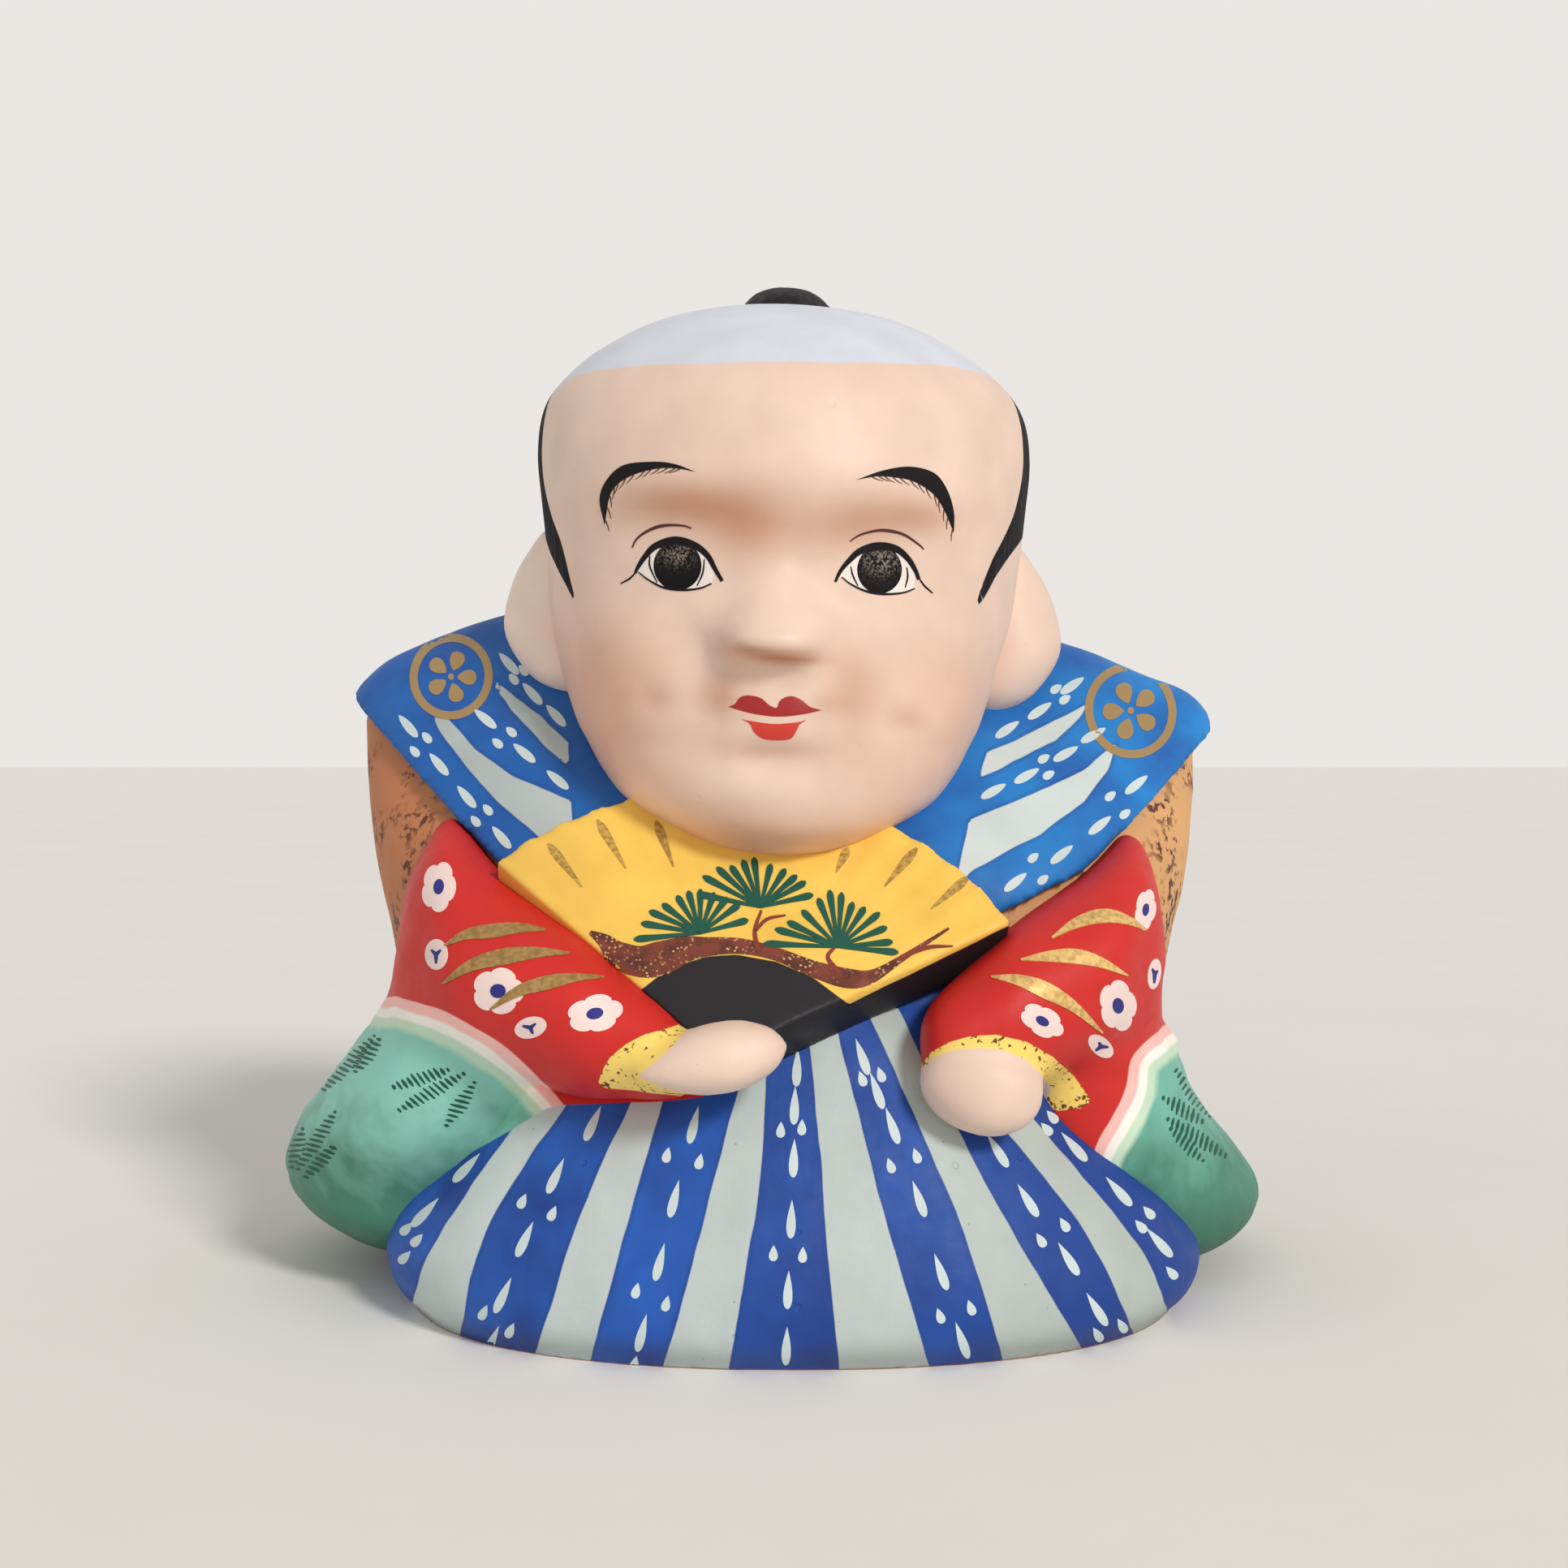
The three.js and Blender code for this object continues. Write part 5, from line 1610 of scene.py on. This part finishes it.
# %% Blossom and grass on the sleeves
BLOSSOMS = {
    RIGHT: [((541, 1093), 42, 63, 8), ((614, 1221), 64, 58, 0), ((733, 1249), 70, 46, -12)],
    LEFT: [((1411, 1121), 26, 52, 8), ((1377, 1239), 46, 64, -6), ((1284, 1258), 58, 36, 30)],
}
BUDS = {
    RIGHT: [((538, 1176), 28, 38, 0), ((654, 1266), 40, 26, -15)],
    LEFT: [((1422, 1200), 16, 38, 8), ((1356, 1289), 36, 22, 40)],
}
BLADES = {
    RIGHT: [[(548, 1165, 2), (575, 1152, 12), (604, 1148, 17), (640, 1144, 12), (672, 1146, 2)],
            [(546, 1212, 2), (580, 1190, 14), (622, 1179, 20), (665, 1174, 12), (702, 1175, 2)],
            [(604, 1244, 2), (638, 1222, 13), (675, 1211, 17), (710, 1205, 10), (744, 1204, 2)]],
    LEFT: [[(1296, 1156, 2), (1326, 1138, 12), (1359, 1129, 17), (1388, 1134, 11), (1412, 1146, 2)],
           [(1258, 1183, 2), (1292, 1179, 13), (1326, 1179, 18), (1358, 1187, 12), (1389, 1202, 2)],
           [(1222, 1204, 2), (1254, 1208, 13), (1287, 1220, 20), (1322, 1240, 13), (1358, 1272, 2)]],
}
PETAL = colour(247, 222, 216)
HEART = colour(40, 42, 128)
GOLDS = {
    RIGHT: (colour(176, 140, 84), colour(146, 112, 62)),
    LEFT: (colour(234, 196, 124), colour(196, 156, 92)),
}
HEART_SHARE = 0.30
STEM_FORK = ((0.30, 90), (0.26, 215), (0.26, 325))


def grass_gold(side):
    """The gold of one arm's grass: the doll's left arm lies in fuller light."""
    def paint(tree):
        return mottle(tree, 0.8, 0.40, 0.66, *GOLDS[side], detail=4)
    return paint


def bud_stem(place, wide, tall, turn):
    """Three short strokes from the middle of a bud."""
    marks = []
    for reach, heading in STEM_FORK:
        x, y = place
        end = turned([(reach * wide, 0)], (0, 0), heading + turn)[0] * (1, tall / wide)
        half_way = (x + end[0] / 2, y + end[1] / 2)
        marks.append(stroke([(x, y, 5), (*half_way, 4), (x + end[0], y + end[1], 2)], 2))
    return marks


for word, side in SIDES.items():
    petals = [blossom(*flower) for flower in BLOSSOMS[side]] + [oval(*bud) for bud in BUDS[side]]
    hearts = [oval(place, HEART_SHARE * wide, HEART_SHARE * tall, turn)
              for place, wide, tall, turn in BLOSSOMS[side]]
    hearts += [mark for bud in BUDS[side] for mark in bud_stem(*bud)]
    lay_marks(word + "_petals", arms[side], petals, PETAL, proud=0.08)
    lay_marks(word + "_hearts", arms[side], hearts, HEART, proud=0.13)
    blades = [stroke(blade) for blade in BLADES[side]]
    lay_marks(word + "_grass", arms[side], blades, grass_gold(side), proud=0.17, **gold_finish)

# %% [markdown]
# The green bags carry bamboo leaves, each hinted at by a row of short dark strokes that grow and shrink
# along the leaf. A hand never repeats a stroke, so their lengths and widths are drawn by chance, from a
# fixed seed.

# %% Bamboo on the bags
BAMBOO = {
    RIGHT: [((481, 1341), (556, 1317)), ((487, 1371), (575, 1321)), ((548, 1390), (585, 1333)),
            ((395, 1347), (462, 1276)), ((436, 1323), (469, 1278)), ((364, 1445), (413, 1370)),
            ((375, 1453), (415, 1409)), ((358, 1441), (373, 1390))],
    LEFT: [((1446, 1315), (1495, 1380)), ((1430, 1351), (1485, 1384)), ((1434, 1376), (1515, 1427)),
           ((1440, 1388), (1483, 1431))],
}
BAMBOO_STEP = 7
FIRST_STROKE = 0.06
LEAST_HALF = 1.5
MOST_SWELL = 7.5
HALF_CHANCE = (0.8, 1.15)
STROKE_SLANT = 0.35
STROKE_ENDS = 1.4
STROKE_WIDTHS = (2.8, 4.4)
PINE = colour(18, 84, 68)
chance = np.random.default_rng(7)


def bamboo_leaf(start, end):
    """A row of slanting strokes between the two ends of a leaf."""
    start, end = np.array(start, float), np.array(end, float)
    run = end - start
    length = np.hypot(*run)
    across = np.array((-run[1], run[0])) / length
    marks = []
    for share in np.arange(FIRST_STROKE, 1, BAMBOO_STEP / length):
        swell = LEAST_HALF + MOST_SWELL * math.sin(share * math.pi) ** 0.9
        half = swell * chance.uniform(*HALF_CHANCE)
        slant = STROKE_SLANT * half * run / length
        middle = start + share * run
        tip, tail = middle + across * half + slant, middle - across * half - slant
        width = chance.uniform(*STROKE_WIDTHS)
        marks.append(stroke([(*tail, STROKE_ENDS), (*middle, width), (*tip, STROKE_ENDS)], 2))
    return marks


for word, side in SIDES.items():
    leaves = [mark for leaf in BAMBOO[side] for mark in bamboo_leaf(*leaf)]
    lay_marks(word + "_bamboo", arms[side], leaves, PINE)

# %% [markdown]
# On the fan an old pine leans over the ribs: a brown trunk in one long loaded stroke flecked with gold,
# three tufts of needles that are thicker at their ends, and a few thin twigs. Olive strokes at the rim
# stand for the folds of the paper. A needle and a fold are the same straight stroke with other widths.

# %% Pine on the fan
TRUNK = [(727, 1149, 5), (745, 1160, 18), (762, 1176, 32), (788, 1185, 38), (815, 1181, 42),
         (845, 1170, 32), (868, 1167, 24), (912, 1166, 19), (957, 1176, 16), (1002, 1194, 20),
         (1046, 1206, 24), (1075, 1203, 16), (1110, 1182, 8), (1169, 1144, 3)]
TWIGS = [
    [(1110, 1180, 5), (1142, 1168, 5), (1174, 1166, 2)],
    [(935, 1172, 6), (930, 1148, 5), (938, 1122, 3)],
    [(930, 1148, 4), (945, 1133, 4), (968, 1128, 2)],
    [(1035, 1200, 6), (1020, 1180, 5), (1030, 1166, 3)],
]
TUFTS = [
    ((863, 1150), [(781, 1158), (790, 1138), (800, 1123), (816, 1114), (834, 1104), (848, 1098), (863, 1096),
                   (880, 1100), (896, 1106), (912, 1114), (922, 1134)]),
    ((937, 1118), [(861, 1102), (866, 1080), (883, 1069), (900, 1067), (915, 1060), (929, 1057), (950, 1065),
                   (968, 1071), (982, 1079), (993, 1087), (1002, 1103)]),
    ((1033, 1167), [(941, 1163), (955, 1145), (970, 1136), (988, 1122), (1008, 1107), (1022, 1097),
                    (1037, 1100), (1051, 1112), (1066, 1118), (1084, 1125), (1093, 1143), (1100, 1161),
                    (1107, 1174)]),
]
FOLDS = [((675, 1039), (717, 1093)), ((736, 1010), (771, 1070)), ((808, 1011), (830, 1068)),
         ((1045, 1045), (1030, 1075)), ((1130, 1045), (1090, 1092)), ((1194, 1080), (1147, 1120))]
# Shares of the way, and the brush's width there
NEEDLE = [(0, 3), (0.6, 6), (0.9, 8.5), (1, 2)]
FOLD = [(0, 3), (0.2, 11), (0.5, 9), (1, 2)]


def straight(start, end, widths, steps):
    """A straight stroke whose width is given at shares of its way."""
    (x0, y0), (x1, y1) = start, end
    return stroke([(x0 + share * (x1 - x0), y0 + share * (y1 - y0), width) for share, width in widths], steps)


def olive(tree):
    return mottle(tree, 0.7, 0.42, 0.6, colour(160, 128, 62), colour(204, 164, 82))


def bark(tree):
    brown = mottle(tree, 2.5, 0.4, 0.6, colour(126, 60, 44), colour(88, 42, 32), detail=4)
    gilded = maths(tree, "MULTIPLY", dots(tree, 0.6, 0.13), ramp(tree, cloud(tree, 5, 2), 0.42, 0.6))
    return blend(tree, gilded, brown, colour(214, 172, 118))


needles = [straight(base, tip, NEEDLE, 3) for base, tips in TUFTS for tip in tips]
folds = [straight(*ends, FOLD, 4) for ends in FOLDS]
lay_marks("fan_folds", fan, folds, olive)
lay_marks("pine_trunk", fan, [stroke(TRUNK)], bark, proud=0.1)
lay_marks("pine_twigs", fan, [stroke(twig) for twig in TWIGS], colour(132, 58, 44), proud=0.13)
lay_marks("pine_needles", fan, needles, PINE, proud=0.16)

# %% [markdown]
# The eyes are drawn with the finest brush: a black pupil with a speckled painted highlight, a white on
# both sides of it, a strong upper lid, a hair-thin lower one, and a fold above in red brown. They are laid
# one over the other in that order, each a little prouder than the last, as the painter does.

# %% Eyes
PUPILS = {"right": ((835, 697), 59, 61), "left": ((1083.5, 702), 55, 59)}
UPPER_LIDS = {
    "right": [(783, 706), (787, 698), (795, 686), (808, 673), (832, 666), (856, 672), (872, 685), (881, 701),
              (890, 716)],
    "left": [(1029, 717), (1036, 703), (1047, 690), (1060, 679), (1081, 673), (1103, 676), (1118, 688),
             (1127, 702), (1132, 714)],
}
LASHES = {"right": [(784, 705), (776, 713), (765, 719)], "left": [(1131, 711), (1139, 722), (1149, 731)]}
LOWER_LIDS = {
    "right": [(787, 705), (800, 715), (818, 724), (840, 727), (862, 725), (877, 719)],
    "left": [(1037, 711), (1047, 719), (1063, 727), (1079, 731), (1096, 732), (1114, 730), (1127, 725)],
}
LID_FOLDS = {
    "right": [(779, 675), (784, 665), (795, 656), (811, 649), (827, 647), (843, 648), (852, 651)],
    "left": [(1047, 667), (1060, 659), (1079, 654), (1095, 654), (1114, 659), (1132, 671), (1138, 677)],
}
EYE_SIDES = {
    "right": [[(801, 685), (801, 698), (810, 718)], [(868, 689), (866, 706), (859, 722)]],
    "left": [[(1048, 698), (1051, 710), (1057, 722)], [(1117, 699), (1118, 711), (1115, 724)]],
}
INK = colour(20, 18, 20)
# Where the painted highlight sits on each pupil
PUPIL_HIGHLIGHTS = {"right": [(834, 682, 14, 9, 1)], "left": [(1086, 691, 15, 11, 1)]}
# The brush's width at the start, in the middle and at the end of a line
UPPER_WIDTHS = (3, 10, 4)
LOWER_WIDTHS = (1.2, 3.2, 1.5)
FINE_WIDTHS = (1.2, 2, 1.2)
FOLD_WIDTHS = (1.5, 4, 1.5)


def tapered(points, widths):
    """A stroke that goes from one width through another to a third."""
    widths = np.interp(np.linspace(0, 2, len(points)), (0, 1, 2), widths)
    return stroke([(x, y, width) for (x, y), width in zip(points, widths)])


def pupil_black(tree):
    # Painted highlight: grey speckles in the upper middle of the black pupil
    highlight_speckle = maths(tree, "MULTIPLY", field(tree, "highlight"), ramp(tree, cloud(tree, 0.35, 2), 0.45, 0.62))
    return blend(tree, maths(tree, "MULTIPLY", highlight_speckle, 0.75), INK, colour(170, 158, 148))


for word in SIDES:
    white = between_lines(UPPER_LIDS[word][:-1], LOWER_LIDS[word])
    lay_marks(word + "_eye_white", head, [white], colour(240, 231, 222), proud=0.04, step=6, roughness=0.45)
    disc = oval(*PUPILS[word], points=40)
    pupil = lay_marks(word + "_pupil", head, [disc], pupil_black, step=4, shine=0.1)
    keep_field(pupil, "highlight", soft_spots(PUPIL_HIGHLIGHTS[word], on_photo(corners(pupil) * MM)))
    lines = [tapered(UPPER_LIDS[word], UPPER_WIDTHS), tapered(LOWER_LIDS[word], LOWER_WIDTHS)]
    lines += [tapered(line, FINE_WIDTHS) for line in EYE_SIDES[word] + [LASHES[word]]]
    lay_marks(word + "_lids", head, lines, INK, proud=0.1, shine=0.15)
    lay_marks(word + "_lid_fold", head, [tapered(LID_FOLDS[word], FOLD_WIDTHS)], colour(82, 36, 32))

# %% [markdown]
# Each brow is one full stroke of ink with fine brown hairs under it, and the small mouth is two dabs of red,
# the upper darker than the lower. All of them are filled between an upper and a lower line, because their
# ends run out to points.

# %% Brows and lips
BROWS = {
    "right": ([(745, 646), (739, 615), (748, 591), (769, 573), (806, 569), (832, 572), (856, 581)],
              [(745, 646), (753, 607), (774, 588), (806, 578), (832, 577), (856, 581)]),
    "left": ([(1056, 591), (1087, 580), (1121, 575), (1151, 583), (1167, 604), (1175, 631), (1175, 656)],
             [(1056, 591), (1080, 587), (1100, 588), (1125, 593), (1149, 608), (1163, 628), (1175, 656)]),
}
BROW_END = {"right": 0, "left": -1}
BROW_HAIRS = 13
HAIR_RUN = 13
HAIR_FALL = 7
UPPER_LIP = ([(898, 871), (906, 867), (911, 860), (921, 857), (937, 860), (948, 869), (957, 872), (960, 865),
              (966, 860), (976, 858), (988, 863), (998, 871), (1012, 875)],
             [(898, 871), (926, 879), (958, 883), (990, 880), (1012, 875)])
LOWER_LIP = ([(914, 886), (923, 888), (953, 892), (982, 890), (993, 887)],
             [(914, 886), (924, 892), (929, 902), (940, 910), (958, 912), (974, 910), (981, 901), (985, 893),
              (993, 887)])


def brow_hairs(below, end):
    """Fine hairs under a brow that sweep out towards its lower end."""
    below = smooth_line(below if end else below[::-1], 8)
    roots = np.linspace(6, len(below) - 2, BROW_HAIRS).astype(int)
    run = np.gradient(below, axis=0)
    run /= np.hypot(*run.T)[:, None]
    marks = []
    for at in roots:
        start = below[at]
        fall = np.array((-run[at, 1], run[at, 0])) * (1 if end else -1)
        tip = start + run[at] * HAIR_RUN + fall * HAIR_FALL
        bend = start + run[at] * HAIR_RUN * 0.5 + fall * HAIR_FALL * 0.6
        marks.append(stroke([(*start, 1.8), (*bend, 1.3), (*tip, 0.6)], 2))
    return marks


for word, (above, below) in BROWS.items():
    lay_marks(word + "_brow_hairs", head, brow_hairs(below, BROW_END[word]), colour(104, 66, 50), proud=0.04)
    lay_marks(word + "_brow", head, [between_lines(above, below)], INK, shine=0.15)
lay_marks("upper_lip", head, [between_lines(*UPPER_LIP)], colour(164, 36, 36), roughness=0.45)
lay_marks("lower_lip", head, [between_lines(*LOWER_LIP)], colour(214, 62, 48), roughness=0.45)

# %% [markdown]
# The doll stands on a plain pale floor under soft studio light. A broad lamp on the viewer's right gives
# the gentle shading across the face, a weaker one fills the left, and a pale world does the rest.

# %% Floor and light
FLOOR_SIDE = 6.0
ROOM_LIGHT = 0.47
ROOM_SEEN = 0.86
LIGHT_AIM = Vector((0, 0, 0.08))

bpy.ops.object.select_all(action="DESELECT")
bpy.ops.mesh.primitive_grid_add(x_subdivisions=8, y_subdivisions=8, size=FLOOR_SIDE)
floor = bpy.context.object
floor.name = "floor"
floor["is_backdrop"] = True


def floor_paint(tree):
    return mottle(tree, 60, 0.3, 0.7, colour(248, 246, 242), colour(246, 244, 240))


lay_coat(floor, "floor_paint", floor_paint, roughness=0.8, tooth=0, waves=0, pits=0, drift=0.004)

world = bpy.data.worlds.new("pale_room")
bpy.context.scene.world = world
world.use_nodes = True
room = world.node_tree
room.nodes["Background"].inputs["Color"].default_value = colour(250, 247, 243)
rays = add_node(room, "ShaderNodeLightPath", {}).outputs
direct = maths(room, "MAXIMUM", rays["Is Camera Ray"], rays["Is Glossy Ray"])
direct = maths(room, "MAXIMUM", direct, rays["Is Transmission Ray"])
strength = ramp(room, direct, 0, 1, ROOM_LIGHT, ROOM_SEEN)
room.links.new(strength, room.nodes["Background"].inputs["Strength"])


def sun(name, place, softness, strength, tint):
    bpy.ops.object.light_add(type="SUN", location=place)
    light = bpy.context.object
    light.name = name
    light.data.angle = math.radians(softness)
    light.data.energy = strength
    light.data.color = tint
    light.rotation_euler = (LIGHT_AIM - light.location).to_track_quat("-Z", "Y").to_euler()
    print(name, "lamp:", strength, "softness in degrees:", softness)


sun("key", place=(0.5, -0.75, 0.65), softness=12, strength=1.8, tint=(1.0, 0.97, 0.93))
sun("fill", place=(-0.8, -0.7, 0.5), softness=60, strength=0.2, tint=(1.0, 0.98, 0.96))
bpy.context.scene.view_settings.view_transform = "Standard"

# %% [markdown]
# Last, the finished doll's box is printed. Paint and softened forms may stand a hair proud of the solids,
# but the doll keeps their size.

# %% Size
low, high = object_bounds()
print("visual box in mm:", [round(v / MM, 1) for v in low], [round(v / MM, 1) for v in high])
